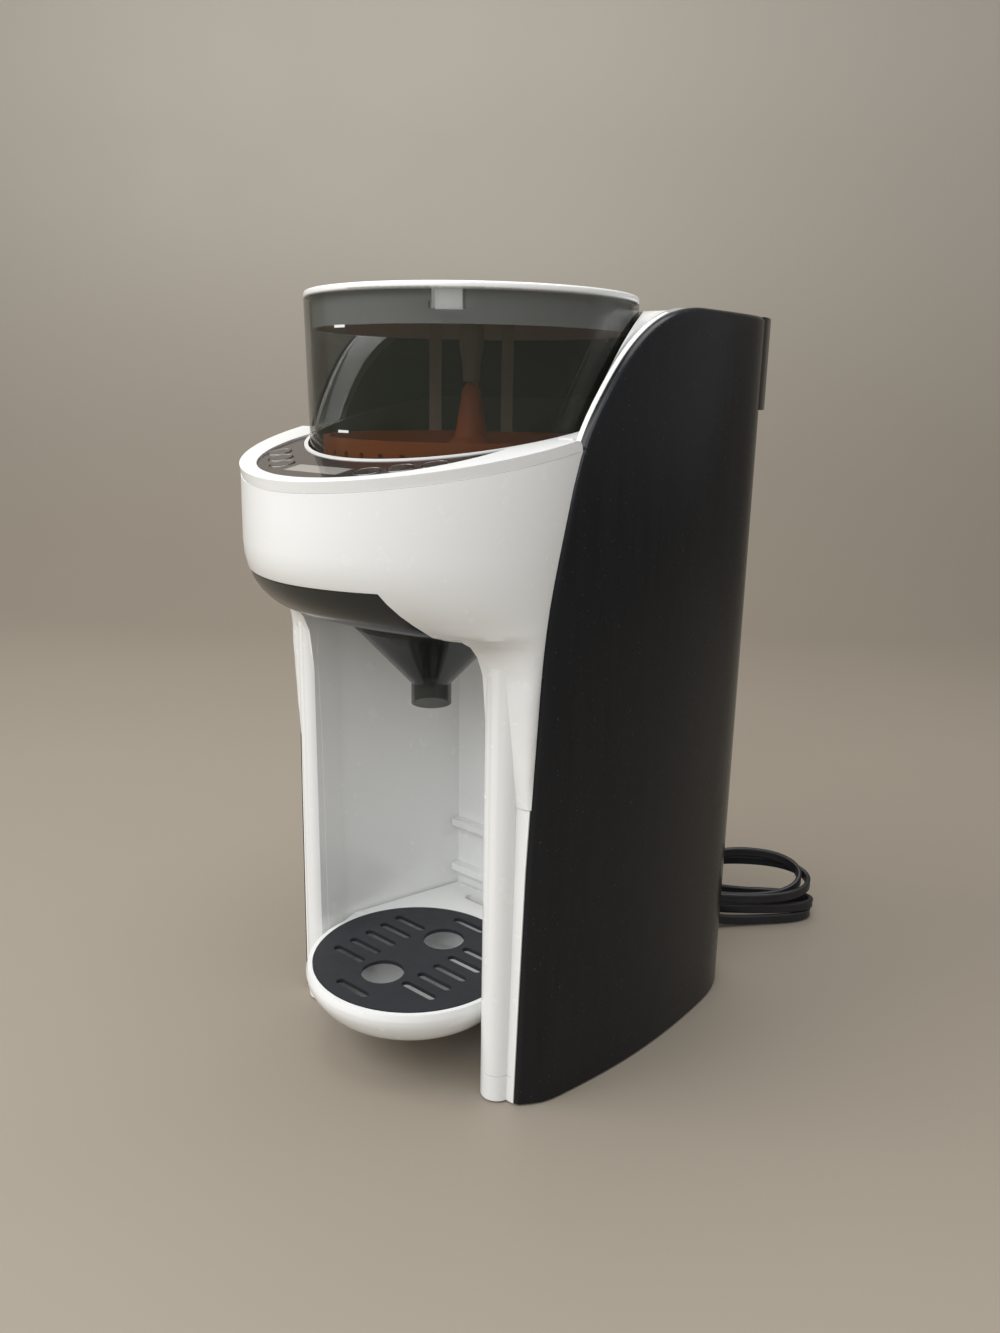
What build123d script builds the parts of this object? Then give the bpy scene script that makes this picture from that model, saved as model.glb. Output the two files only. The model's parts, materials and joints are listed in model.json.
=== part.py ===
"""Countertop formula dispenser: powder hopper, mixing head, drip tray, rear water tank and mains cord.

Millimetres. +Z is up, the front faces -Y, and the origin is at the middle of the footprint on the floor.
"""

import os
from math import atan, cos, degrees, pi, radians, sin, sqrt, tan

from build123d import *

os.makedirs("parts", exist_ok=True)

# ---------------------------------------------------------------- overall sizes
LID_TOP = 370.0  # highest point, top of the hopper lid
PANEL_TOP = 364.8  # top of the black side panels
FRONT_REACH = 127.5  # how far the head reaches in front of the origin
BACK_REACH = 128.4  # how far the tank lid reaches behind it
PANEL_LIFT = 1.0  # gap from floor to the panels and columns
GAP = 0.4  # between pieces that move apart
FIT = 0.1  # between pieces fixed side by side
BEARING_GAP = 0.05  # radial clearance of a shaft in its bore

# ---------------------------------------------------------------- side panels, plan and front edge
PANEL_WALL = 4.0
PANEL_ROLL = 2.4  # rounding of the panel's outer edge
SHELL_WALL = 2.4
HEAD_STEP = 1.2  # white head sits this far inside the panel face
PLAN = [(76.2, -63.0), (81.0, -57.0), (85.2, -51.0), (89.0, -38.7), (94.9, -5.2), (97.9, 36.5),
        (97.2, 70.1), (93.4, 95.7), (88.4, 106.5)]
EDGE = [(-61.0, 0.0), (-58.6, 117.0), (-55.9, 192.0), (-52.4, 244.0), (-46.9, 277.0), (-37.9, 310.0),
        (-27.0, 329.0), (-15.3, 344.0), (1.2, 357.0), (22.1, 363.9), (34.0, 364.8)]
REAR_STEP_Z = 320.0  # tank lid starts here
REAR_STEP_Y = 98.0

# ---------------------------------------------------------------- head
SEAM_Z = 304.8  # bezel seam height where the panels start
SEAM_Y = -40.0
SEAM_SLOPE = 0.205  # rise of the seam per mm towards the back
HEAD_ROUND = 1.85  # exponent of the rounded plan outline
UNDER_Z = 226.0  # flat underside of the head
UNDER_RISE = 36.0  # height over which the underside curls up to the front
UNDER_INSET = 45.0  # how far the curl comes in from the front
COLUMN_FRONT = 67.0
COLUMN_BACK = 60.0  # reach of the shell where it starts to grow out of the columns
GROW_Z = 150.0
ARCH_RADIUS = 26.0
NOSE_X = 64.0
NOSE_Y = -59.4
NOSE_RADIUS = 8.0
FOOT_CAP = 14.5

# ---------------------------------------------------------------- bay under the head
BAY_FRONT_HALF = 58.0
BAY_BACK_HALF = 42.0
BAY_STRAIGHT_Y = -42.0
BAY_BACK_Y = 26.0
BAY_WALL = 2.4
RIB_LEVELS = [27.0, 55.0, 83.0]
RIB_DEPTH = 6.0
RIB_HEIGHT = 4.0
RAIL_THICK = 1.8

# ---------------------------------------------------------------- hopper
HOPPER_Y = -12.3
HOPPER_TOP = 366.6
HOPPER_BOTTOM = 287.0
HOPPER_R_TOP = 77.4
HOPPER_R_BOTTOM = 75.7
HOPPER_WALL = 2.4
FLOOR_Z = 288.6
FLOOR_THICK = 3.0
OUTLET_Y = -39.3  # powder outlet, chute, funnel and nozzle share this axis
OUTLET_R = 9.0
LID_R = 77.2
LID_THICK = 3.0
SKIRT_R = 73.6
SKIRT_BOTTOM = 353.8
RECESS_R = 78.9
RING_WALL = 1.8
WHEEL_R = 70.0
WHEEL_BOTTOM = 292.1
WHEEL_TOP = 306.5
CONE_TOP = 331.5
HUB_R = 8.6
KEY_FLATS = 8.0
STEM_BOTTOM = 332.0
FINGER_R = 17.0
FINGER_BOTTOM = 309.0
VIEW_TURN = 40.7  # the fingers are set at this turn about the hopper axis

# ---------------------------------------------------------------- drive
MODULE = 1.0
GEAR_TEETH = 28
PINION_TEETH = 12
GEAR_Z = 270.0
GEAR_THICK = 6.0
DECK_Z = 263.0
DECK_THICK = 3.0
MOTOR_R = 14.0
MOTOR_HEIGHT = 30.0

# ---------------------------------------------------------------- control panel
PANEL_RISE = 3.9  # glossy face above the seam plane
RIM_RISE = 4.7
FACE_R = 65.0
FACE_Y = -57.0
FACE_THICK = 1.6
BUTTON_R = 5.2
BUTTON_SPOTS = [(27.5, -103.0), (38.4, -95.2), (49.8, -87.0)]
BUTTON_TALL = 2.4
SCREEN_WIDTH = 35.0
SCREEN_DEPTH = 9.5
SCREEN_Y = -106.0

# ---------------------------------------------------------------- funnel
FUNNEL_RIM_R = 37.5
FUNNEL_RIM_Z = 219.0
NOZZLE_R = 9.85
NOZZLE_TOP = 189.5
NOZZLE_BOTTOM = 179.0
FUNNEL_WALL = 1.6
COVER_THICK = 2.4
VISOR_TOP = 248.3
VISOR_HALF_TOP = 41.5
VISOR_HALF_LOW = 49.5
VISOR_LOW = 231.0
VISOR_WALL = 2.6

# ---------------------------------------------------------------- drip tray
TRAY_Y = -52.0
TRAY_R = 55.0
TRAY_TOP = 45.5
TRAY_BOTTOM = 24.0
MAT_R = 51.4
MAT_TOP = 45.9
MAT_THICK = 2.0
HOLE_R = 10.8
HOLE_SPREAD = 22.0
SLOT_LENGTH = 21.7
SLOT_WIDTH = 4.6
SLOT_X = 25.3
SLOT_PITCH = 10.9
END_SLOT_SPREAD = 42.0

# ---------------------------------------------------------------- water side
TANK_HALF = 59.0
TANK_FRONT = 74.5
TANK_BACK = 123.4
TANK_BOTTOM = 64.0
TANK_TOP = 320.6
TANK_WALL = 2.2
TANK_ROUND = 14.0

# ---------------------------------------------------------------- mains cord
CORD_D = 5.0  # round section of the same area as the flat lead
GLAND_X = 48.0
GLAND_Z = 16.0


def panel_x(y):
    """Half width of the black panels' outer face at depth y."""
    low, high = 0.0, 1.0
    for _ in range(26):
        middle = (low + high) / 2
        if plan_curve.position_at(middle).Y < y:
            low = middle
        else:
            high = middle
    return plan_curve.position_at((low + high) / 2).X


def edge_y(z):
    """Depth of the panels' front edge at height z."""
    low, high = 0.0, 1.0
    for _ in range(26):
        middle = (low + high) / 2
        if edge_curve.position_at(middle).Y < z:
            low = middle
        else:
            high = middle
    return edge_curve.position_at((low + high) / 2).X


with BuildLine() as plan_line:
    plan_curve = Spline(*PLAN)
with BuildLine() as edge_line:
    edge_curve = Spline(*EDGE)


def front_reach(z):
    """How far the front shell reaches forward at height z."""
    arch_start = UNDER_Z - ARCH_RADIUS
    if z <= arch_start:
        share = max(0.0, (z - GROW_Z) / (arch_start - GROW_Z))
        return COLUMN_BACK + (COLUMN_FRONT - COLUMN_BACK) * share**0.8
    if z < UNDER_Z:
        rise = z - arch_start
        return COLUMN_FRONT + ARCH_RADIUS - sqrt(ARCH_RADIUS**2 - rise**2)
    drop = max(0.0, (UNDER_Z + UNDER_RISE - z) / UNDER_RISE)
    return FRONT_REACH - UNDER_INSET * (1 - sqrt(max(0.0, 1 - drop**2)))


def outline_power(z):
    """Exponent of the plan outline: squarer at the columns, rounder at the head."""
    share = min(1.0, max(0.0, (z - UNDER_Z + ARCH_RADIUS) / (ARCH_RADIUS + 6)))
    return 3.5 + (HEAD_ROUND - 3.5) * share


def shell_outline(z, inset, lift):
    """Points of the front shell's outline at height z, from the right edge round to the left."""
    level = max(0.0, z - lift)
    back = edge_y(z)
    half = panel_x(back) - HEAD_STEP - inset
    reach = front_reach(level) - inset
    power = outline_power(level)
    steps = 14
    points = []
    for step in range(steps + 1):
        turn = pi * step / steps
        across = cos(turn)
        side = 1 if across >= 0 else -1
        x = half * side * abs(across) ** (2 / power)
        y = back - (reach + back) * abs(sin(turn)) ** (2 / power)
        points.append((x, y))
    return points


def seam_height(y):
    return SEAM_Z + SEAM_SLOPE * (y - SEAM_Y)


TILT = degrees(atan(SEAM_SLOPE))
SEAM = Plane(origin=(0, SEAM_Y, SEAM_Z), x_dir=(1, 0, 0), z_dir=(0, -sin(radians(TILT)), cos(radians(TILT))))


def on_seam(y):
    """Distance along the tilted seam plane of a point at depth y."""
    return (y - SEAM_Y) / cos(radians(TILT))


ARCH_TURNS = (22, 44, 62, 78)
CURL_TURNS = (10, 20, 30, 40, 50, 60, 70, 80, 90)
SECTIONS = [GROW_Z, 167.0, 184.0, UNDER_Z - ARCH_RADIUS]
SECTIONS += [UNDER_Z - ARCH_RADIUS + ARCH_RADIUS * sin(radians(turn)) for turn in ARCH_TURNS]
SECTIONS += [UNDER_Z + UNDER_RISE * (1 - cos(radians(turn))) for turn in CURL_TURNS]
SECTIONS += [276.0, 290.0, 302.0, 313.0]
FLANGE_LEVELS = [PANEL_LIFT, 60.0, 120.0, 170.0, 212.0]

# ================================================================ white front housing
with BuildPart() as shell_void:
    for height in SECTIONS[:-1] + [SECTIONS[-1] + 3]:
        with BuildSketch(Plane.XY.offset(height)):
            with BuildLine():
                pts = shell_outline(height, VISOR_WALL if height > GROW_Z else 0.2, VISOR_WALL)
                back = edge_y(height)
                front = Spline(*pts)
                Polyline(front @ 1, (pts[-1][0], back + 2), (pts[0][0], back + 2), front @ 0)
            make_face()
    loft(ruled=True)

with BuildPart() as bay_void:
    with BuildSketch(Plane.XY):
        with BuildLine():
            Polyline((-BAY_FRONT_HALF, -140), (BAY_FRONT_HALF, -140), (BAY_FRONT_HALF, BAY_STRAIGHT_Y),
                     (BAY_BACK_HALF, BAY_BACK_Y), (-BAY_BACK_HALF, BAY_BACK_Y),
                     (-BAY_FRONT_HALF, BAY_STRAIGHT_Y), close=True)
        make_face()
    extrude(amount=UNDER_Z)
    fillet(bay_void.edges().filter_by(Axis.Z).sort_by(Axis.Y)[-2:], 12)

with BuildPart() as front_solid:
    for height in SECTIONS:
        with BuildSketch(Plane.XY.offset(height)):
            with BuildLine():
                front = Spline(*shell_outline(height, 0, 0))
                Line(front @ 1, front @ 0)
            make_face()
    loft(ruled=True)

with BuildPart() as flange_solid:
    for height in FLANGE_LEVELS:
        back = edge_y(height)
        half = panel_x(back) - HEAD_STEP
        with BuildSketch(Plane.XY.offset(height)):
            with BuildLine():
                Polyline((NOSE_X, min(NOSE_Y - 0.3, back - 0.8)), (half - 0.7, back - 0.5),
                         (half - 0.7, back + 0.15), (NOSE_X, back + 0.15), close=True)
            make_face()
    loft(ruled=True)


def save(piece, name):
    """Label one finished piece and write it out."""
    piece.part.label = name
    export_step(piece.part, f"parts/{name}.step")


def slot_outline(low, grow):
    """Front view of the funnel drawer's opening, widened by grow on each side."""
    return [(-VISOR_HALF_LOW - grow, low), (VISOR_HALF_LOW + grow, low), (VISOR_HALF_LOW + grow, VISOR_LOW),
            (VISOR_HALF_TOP + grow, VISOR_TOP + grow), (-VISOR_HALF_TOP - grow, VISOR_TOP + grow),
            (-VISOR_HALF_LOW - grow, VISOR_LOW)]


with BuildPart() as drawer_void:
    with BuildSketch(Plane.XZ.offset(55)):
        with BuildLine():
            Polyline(*slot_outline(UNDER_Z - 6, GAP), close=True)
        make_face()
    extrude(amount=90)

with BuildPart() as arch_wall:
    add(front_solid.part)
    with Locations((0, -90, UNDER_Z - 14)):
        Box(2 * (BAY_FRONT_HALF + BAY_WALL), 120, 32, mode=Mode.INTERSECT)
    with Locations((0, -90, UNDER_Z - 14)):
        Box(2 * BAY_FRONT_HALF, 140, 50, mode=Mode.SUBTRACT)

with BuildPart() as front_housing:
    add(front_solid.part)
    add(flange_solid.part)
    mirror(flange_solid.part, about=Plane.YZ)
    for side in (-1, 1):
        with BuildSketch(Plane.XY.offset(PANEL_LIFT)):
            with Locations((side * NOSE_X, NOSE_Y)):
                Circle(NOSE_RADIUS)
        extrude(amount=UNDER_Z - 14)
    add(shell_void.part, mode=Mode.SUBTRACT)
    for side in (-1, 1):
        with BuildSketch(Plane.XY):
            with Locations((side * NOSE_X, NOSE_Y)):
                Circle(NOSE_RADIUS - VISOR_WALL)
        extrude(amount=UNDER_Z - 16, mode=Mode.SUBTRACT)
    add(arch_wall.part)
    add(bay_void.part, mode=Mode.SUBTRACT)
    add(drawer_void.part, mode=Mode.SUBTRACT)
    with BuildSketch(SEAM):
        Rectangle(300, 400)
    extrude(amount=60, mode=Mode.SUBTRACT)
    with Locations((0, -60, PANEL_LIFT + (FOOT_CAP - PANEL_LIFT) / 2)):
        Box(200, 60, FOOT_CAP - PANEL_LIFT, mode=Mode.SUBTRACT)
save(front_housing, "front_housing")

# ================================================================ column foot caps and pads
with BuildPart() as foot_cap_right:
    add(flange_solid.part)
    with BuildSketch(Plane.XY.offset(PANEL_LIFT)):
        with Locations((NOSE_X, NOSE_Y)):
            Circle(NOSE_RADIUS)
    extrude(amount=FOOT_CAP)
    with Locations((NOSE_X, NOSE_Y, FOOT_CAP - 0.3 + 150)):
        Box(80, 60, 300, mode=Mode.SUBTRACT)
    with Locations((BAY_FRONT_HALF - 20, NOSE_Y, 10)):
        Box(40, 60, 40, mode=Mode.SUBTRACT)
save(foot_cap_right, "foot_cap_right")

with BuildPart() as foot_cap_left:
    mirror(foot_cap_right.part, about=Plane.YZ)
save(foot_cap_left, "foot_cap_left")

PAD_SPOTS = {"pad_front_right": (NOSE_X + 1.5, NOSE_Y, 5.0, PANEL_LIFT),
             "pad_front_left": (-NOSE_X - 1.5, NOSE_Y, 5.0, PANEL_LIFT),
             "pad_rear_right": (58.0, 104.0, 8.0, 3.0),
             "pad_rear_left": (-58.0, 104.0, 8.0, 3.0)}
for pad_name, (pad_x, pad_y, pad_r, pad_height) in PAD_SPOTS.items():
    with BuildPart() as pad:
        with Locations((pad_x, pad_y, pad_height / 2)):
            Cylinder(pad_r, pad_height)
    save(pad, pad_name)

# ================================================================ black side panels


def edge_region(shift, lift, front_z):
    """Side view of everything behind the panels' front edge, moved back by shift and up by lift."""
    with BuildLine() as region:
        rim = Spline(*[(y + shift, z + lift) for y, z in EDGE])
        Polyline(rim @ 1, (140, PANEL_TOP + lift), (140, front_z), (EDGE[0][0] + shift, front_z), rim @ 0)
    return region


with BuildPart() as side_panel_right:
    with BuildSketch(Plane.XY.offset(PANEL_LIFT)):
        with BuildLine():
            outer = Spline(*PLAN)
            inner = Spline(*[(x - PANEL_WALL, y) for x, y in PLAN])
            Line(outer @ 0, inner @ 0)
            Line(outer @ 1, inner @ 1)
        make_face()
    extrude(amount=PANEL_TOP + 2)
    with BuildSketch(Plane.YZ.offset(50)):
        add(edge_region(0.3, 0, -4).line)
        make_face()
    extrude(amount=60, mode=Mode.INTERSECT)
    with Locations((90, REAR_STEP_Y + 20, REAR_STEP_Z + 30)):
        Box(40, 40, 60, mode=Mode.SUBTRACT)
    rolled = [e for e in side_panel_right.edges()
              if abs((e @ 0.5).X - panel_x((e @ 0.5).Y)) < 0.05 and (e @ 0.5).Y < REAR_STEP_Y - 1
              and (e @ 0.5).Z > 20]
    fillet(rolled, PANEL_ROLL)
save(side_panel_right, "side_panel_right")

with BuildPart() as side_panel_left:
    mirror(side_panel_right.part, about=Plane.YZ)
save(side_panel_left, "side_panel_left")

# ================================================================ white body shell behind the panels
SHELL_OUT = PANEL_WALL + 0.2
REAR_PLAN = [(87.2, 106.9), (84.0, 112.6), (77.6, 119.2), (67.0, 123.0), (50.0, 124.5)]
REAR_WALL = 6.2
REAR_JOIN_X = 84.1
REAR_DEPTH = 124.5
WINDOW_HALF = 60.0
SHELL_BOTTOM = 3.0

with BuildPart() as body_shell:
    with BuildSketch(Plane.XY.offset(SHELL_BOTTOM)):
        with BuildLine():
            outer = Spline(*[(x - SHELL_OUT, y) for x, y in PLAN])
            inner = Spline(*[(x - SHELL_OUT - SHELL_WALL, y) for x, y in PLAN])
            Line(outer @ 0, inner @ 0)
            Line(outer @ 1, inner @ 1)
        make_face()
    extrude(amount=PANEL_TOP - 6)
    mirror(body_shell.part, about=Plane.YZ)
    with BuildSketch(Plane.YZ.offset(-110)):
        add(edge_region(0.4, 0.4, -4).line)
        make_face()
    extrude(amount=220, mode=Mode.INTERSECT)
    with BuildSketch(Plane.XY.offset(SHELL_BOTTOM)):
        with BuildLine():
            outer = Spline(*REAR_PLAN)
            inner = Spline((REAR_PLAN[0][0] - REAR_WALL, 105.6), (77.6, 110.2), (72.4, 115.0), (64.0, 118.6),
                           (50.0, 120.0))
            Polyline(outer @ 0, (REAR_JOIN_X, REAR_PLAN[0][1]), (REAR_JOIN_X, 105.6), inner @ 0)
            Line(outer @ 1, inner @ 1)
        make_face()
        mirror(about=Plane.YZ)
        with Locations((0, REAR_DEPTH - 2.25)):
            Rectangle(100.2, 4.5)
    extrude(amount=REAR_STEP_Z - 4 - SHELL_BOTTOM)
    with Locations((0, REAR_DEPTH, (TANK_BOTTOM + REAR_STEP_Z) / 2)):
        Box(2 * WINDOW_HALF, 60, REAR_STEP_Z - TANK_BOTTOM, mode=Mode.SUBTRACT)
    with Locations((0, REAR_STEP_Y + 20, REAR_STEP_Z + 46)):
        Box(240, 40, 100, mode=Mode.SUBTRACT)
save(body_shell, "body_shell")

# ================================================================ bay liner with the tray ribs
with BuildPart() as bay_liner:
    with BuildSketch(Plane.XY.offset(PANEL_LIFT)):
        with BuildLine():
            wall = BAY_WALL
            Polyline((-BAY_FRONT_HALF - wall, -50.6), (-BAY_FRONT_HALF, -50.6),
                     (-BAY_FRONT_HALF, BAY_STRAIGHT_Y), (-BAY_BACK_HALF, BAY_BACK_Y),
                     (BAY_BACK_HALF, BAY_BACK_Y), (BAY_FRONT_HALF, BAY_STRAIGHT_Y),
                     (BAY_FRONT_HALF, -50.6), (BAY_FRONT_HALF + wall, -50.6),
                     (BAY_FRONT_HALF + wall, BAY_STRAIGHT_Y + 0.5), (BAY_BACK_HALF + wall, BAY_BACK_Y + wall),
                     (-BAY_BACK_HALF - wall, BAY_BACK_Y + wall),
                     (-BAY_FRONT_HALF - wall, BAY_STRAIGHT_Y + 0.5),
                     close=True)
        make_face()
    extrude(amount=UNDER_Z - PANEL_LIFT)
    with BuildSketch(Plane.XY.offset(UNDER_Z)):
        with BuildLine():
            Polyline((-BAY_FRONT_HALF - wall, -50.6), (BAY_FRONT_HALF + wall, -50.6),
                     (BAY_FRONT_HALF + wall, BAY_STRAIGHT_Y + 0.5), (BAY_BACK_HALF + wall, BAY_BACK_Y + wall),
                     (-BAY_BACK_HALF - wall, BAY_BACK_Y + wall),
                     (-BAY_FRONT_HALF - wall, BAY_STRAIGHT_Y + 0.5),
                     close=True)
        make_face()
    extrude(amount=COVER_THICK)
    with Locations((0, -51.6, UNDER_Z)):
        Box(2 * VISOR_HALF_LOW + 2 * GAP, 100, 20, mode=Mode.SUBTRACT)
    for level in RIB_LEVELS:
        with Locations((0, BAY_BACK_Y - RIB_DEPTH / 2 + 0.2, level + RIB_HEIGHT / 2)):
            Box(2 * BAY_BACK_HALF - 1, RIB_DEPTH + 0.4, RIB_HEIGHT)
    for side in (-1, 1):  # rails that carry the funnel drawer's edges
        with Locations((side * (VISOR_HALF_LOW - 0.6), -27, UNDER_Z - GAP - RAIL_THICK / 2)):
            Box(6.6, 46, RAIL_THICK)
        with Locations((side * (VISOR_HALF_LOW + 1.9), -27, UNDER_Z - 1)):
            Box(2.4, 46, 4)
save(bay_liner, "bay_liner")

# ================================================================ bezel, collar and control face
BEZEL_HALF = panel_x(SEAM_Y) - HEAD_STEP
BEZEL_REACH = -on_seam(-FRONT_REACH)
RING_CUT = RECESS_R + 0.15


def arc_points(half, reach):
    """Rounded plan outline on the seam plane, right to left."""
    steps = 22
    points = []
    for step in range(steps + 1):
        across = cos(pi * step / steps)
        side = 1 if across >= 0 else -1
        points.append((half * side * abs(across) ** (2 / HEAD_ROUND),
                       -reach * abs(sin(pi * step / steps)) ** (2 / HEAD_ROUND)))
    return points


with BuildPart() as top_bezel:
    with BuildSketch(SEAM.offset(0.1)):
        with BuildLine():
            front = Spline(*arc_points(BEZEL_HALF, BEZEL_REACH))
            Line(front @ 1, front @ 0)
        make_face()
    extrude(amount=RIM_RISE)
    fillet(top_bezel.faces().sort_by(Axis.Z)[-1].edges().sort_by(Axis.Y)[:1], 3.2)
    with BuildSketch(SEAM.offset(PANEL_RISE - FACE_THICK)):
        with Locations((0, on_seam(FACE_Y))):
            Circle(FACE_R)
    extrude(amount=12, mode=Mode.SUBTRACT)
    with BuildSketch(Plane.XY.offset(260)):
        with Locations((0, HOPPER_Y)):
            Circle(RING_CUT)
    extrude(amount=80, mode=Mode.SUBTRACT)
    with BuildSketch(SEAM.offset(-5)):
        for spot_x, spot_y in BUTTON_SPOTS:
            with Locations((spot_x, on_seam(spot_y)), (-spot_x, on_seam(spot_y))):
                Circle(BUTTON_R + GAP)
    extrude(amount=20, mode=Mode.SUBTRACT)
save(top_bezel, "top_bezel")

with BuildPart() as control_face:
    with BuildSketch(SEAM.offset(PANEL_RISE - FACE_THICK)):
        with Locations((0, on_seam(FACE_Y))):
            Circle(FACE_R - 0.15)
    extrude(amount=FACE_THICK)
    with BuildSketch(Plane.XY.offset(260)):
        with Locations((0, HOPPER_Y)):
            Circle(RING_CUT + 0.1)
    extrude(amount=80, mode=Mode.SUBTRACT)
    with BuildSketch(SEAM.offset(-5)):
        for spot_x, spot_y in BUTTON_SPOTS:
            with Locations((spot_x, on_seam(spot_y)), (-spot_x, on_seam(spot_y))):
                Circle(BUTTON_R + GAP)
        with Locations((0, on_seam(SCREEN_Y))):
            Rectangle(SCREEN_WIDTH + 0.3, SCREEN_DEPTH + 0.3)
    extrude(amount=20, mode=Mode.SUBTRACT)
save(control_face, "control_face")

with BuildPart() as display_window:
    with BuildSketch(SEAM.offset(PANEL_RISE - FACE_THICK)):
        with Locations((0, on_seam(SCREEN_Y))):
            Rectangle(SCREEN_WIDTH, SCREEN_DEPTH)
    extrude(amount=FACE_THICK)
save(display_window, "display_window")

for index, (spot_x, spot_y) in enumerate(BUTTON_SPOTS, 1):
    for side, side_name in ((1, "right"), (-1, "left")):
        with BuildPart() as button:
            with BuildSketch(SEAM.offset(PANEL_RISE + 0.3 - BUTTON_TALL)):
                with Locations((side * spot_x, on_seam(spot_y))):
                    Circle(BUTTON_R)
            extrude(amount=BUTTON_TALL)
        save(button, f"button_{side_name}_{index}")

SEAT_Z = HOPPER_BOTTOM - 0.4
SEAT_THICK = 2.0
with BuildPart() as hopper_collar:
    with BuildSketch(Plane.XY.offset(SEAT_Z - SEAT_THICK)):
        with Locations((0, HOPPER_Y)):
            Circle(RECESS_R)
    extrude(amount=40)
    with BuildSketch(Plane.XY.offset(SEAT_Z)):
        with Locations((0, HOPPER_Y)):
            Circle(RECESS_R - RING_WALL)
    extrude(amount=60, mode=Mode.SUBTRACT)
    with BuildSketch(SEAM.offset(PANEL_RISE + 0.5)):
        Rectangle(300, 400)
    extrude(amount=60, mode=Mode.SUBTRACT)
    with BuildSketch(Plane.XY.offset(200)):
        with Locations((0, HOPPER_Y)):
            Circle(7.0)
        with Locations((0, OUTLET_Y)):
            Circle(OUTLET_R)
    extrude(amount=90, mode=Mode.SUBTRACT)
save(hopper_collar, "hopper_collar")

# ================================================================ white cowl behind the hopper
COWL_BACK = 71.5
COWL_STEP = 9.0  # the cowl falls away from the panels by this much at the hopper


with BuildPart() as cowl_outside:
    for side in (-1, 1):
        for reach, shift in ((79.0, COWL_STEP), (89.0, -1.0)):
            with BuildSketch(Plane.YZ.offset(side * reach)):
                with BuildLine():
                    rim = Spline(*[(y + shift, z) for y, z in EDGE[3:]])
                    Polyline(rim @ 1, (COWL_BACK + shift, EDGE[-1][1]), (COWL_BACK + shift, 192), rim @ 0)
                make_face()
        loft(ruled=True)
    with BuildSketch(Plane.YZ.offset(-79)):
        with BuildLine():
            rim = Spline(*[(y + COWL_STEP, z) for y, z in EDGE[3:]])
            Polyline(rim @ 1, (COWL_BACK + COWL_STEP, EDGE[-1][1]), (COWL_BACK + COWL_STEP, 192), rim @ 0)
        make_face()
    extrude(amount=158)
    with BuildSketch(Plane.YZ.offset(-86)):
        with BuildLine():
            Polyline((SEAM_Y - 2, 230), (0, 230), (0, seam_height(0) + RIM_RISE),
                     (SEAM_Y - 2, seam_height(SEAM_Y - 2) + RIM_RISE), close=True)
        make_face()
    extrude(amount=172)

with BuildPart() as cowl:
    add(cowl_outside.part)
    with BuildSketch(Plane.XY.offset(290)):
        with BuildLine():
            right = Spline(*[(x - SHELL_OUT - SHELL_WALL - FIT, y) for x, y in PLAN])
            left = Spline(*[(SHELL_OUT + SHELL_WALL + FIT - x, y) for x, y in PLAN])
            Line(right @ 0, left @ 0)
            Line(right @ 1, left @ 1)
        make_face()
    extrude(amount=90, mode=Mode.INTERSECT)
    with Locations((0, SEAM_Y + 0.2 - 50, 330)):
        Box(300, 100, 100, mode=Mode.SUBTRACT)
    with Locations((0, COWL_BACK + 50, 330)):
        Box(300, 100, 100, mode=Mode.SUBTRACT)
    with BuildSketch(Plane.XY.offset(250)):
        with Locations((0, HOPPER_Y)):
            Circle(RECESS_R + FIT)
    extrude(amount=140, mode=Mode.SUBTRACT)
save(cowl, "cowl")

# ================================================================ powder hopper, wheel and lid
AXIS = Plane(origin=(0, HOPPER_Y, 0), x_dir=(1, 0, 0), z_dir=(0, -1, 0))
LATCH = (39.0, 49.0, 359.4)  # left side, right side and bottom of the clear tab
LATCH_DEPTH = 1.6
GROOVE = (27.5, 38.0, 359.5, 362.0)
GROOVE_DEPTH = 0.8
SEAT_LIP = 70.0

with BuildPart() as groove_cut:
    with BuildSketch(Plane.XY.offset(GROOVE[2])):
        with Locations((0, HOPPER_Y)):
            Circle(HOPPER_R_TOP + 5)
            Circle(HOPPER_R_TOP - 0.1 - GROOVE_DEPTH, mode=Mode.SUBTRACT)
        with Locations(((GROOVE[0] + GROOVE[1]) / 2, -80)):
            Rectangle(GROOVE[1] - GROOVE[0], 40, mode=Mode.INTERSECT)
    extrude(amount=GROOVE[3] - GROOVE[2])

with BuildPart() as powder_hopper:
    with BuildSketch(AXIS):
        with BuildLine():
            inside = HOPPER_R_BOTTOM - HOPPER_WALL
            Polyline((HOPPER_R_BOTTOM, HOPPER_BOTTOM), (HOPPER_R_TOP, HOPPER_TOP),
                     (HOPPER_R_TOP - HOPPER_WALL, HOPPER_TOP), (inside, FLOOR_Z), (SEAT_LIP, FLOOR_Z),
                     (SEAT_LIP, HOPPER_BOTTOM), close=True)
        make_face()
    revolve(axis=Axis((0, HOPPER_Y, 0), (0, 0, 1)))
    with Locations(((LATCH[0] + LATCH[1]) / 2, -80, LATCH[2] + 10)):
        Box(LATCH[1] - LATCH[0] + 2 * GAP, 40, 20 + 2 * GAP, mode=Mode.SUBTRACT)
    add(groove_cut.part, mode=Mode.SUBTRACT)
save(powder_hopper, "powder_hopper")

with BuildPart() as hopper_floor:
    with BuildSketch(Plane.XY.offset(FLOOR_Z)):
        with Locations((0, HOPPER_Y)):
            Circle(HOPPER_R_BOTTOM - HOPPER_WALL - 0.1)
            Circle(HUB_R + BEARING_GAP, mode=Mode.SUBTRACT)
        with Locations((0, OUTLET_Y)):
            Circle(OUTLET_R, mode=Mode.SUBTRACT)
    extrude(amount=FLOOR_THICK)
save(hopper_floor, "hopper_floor")

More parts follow.
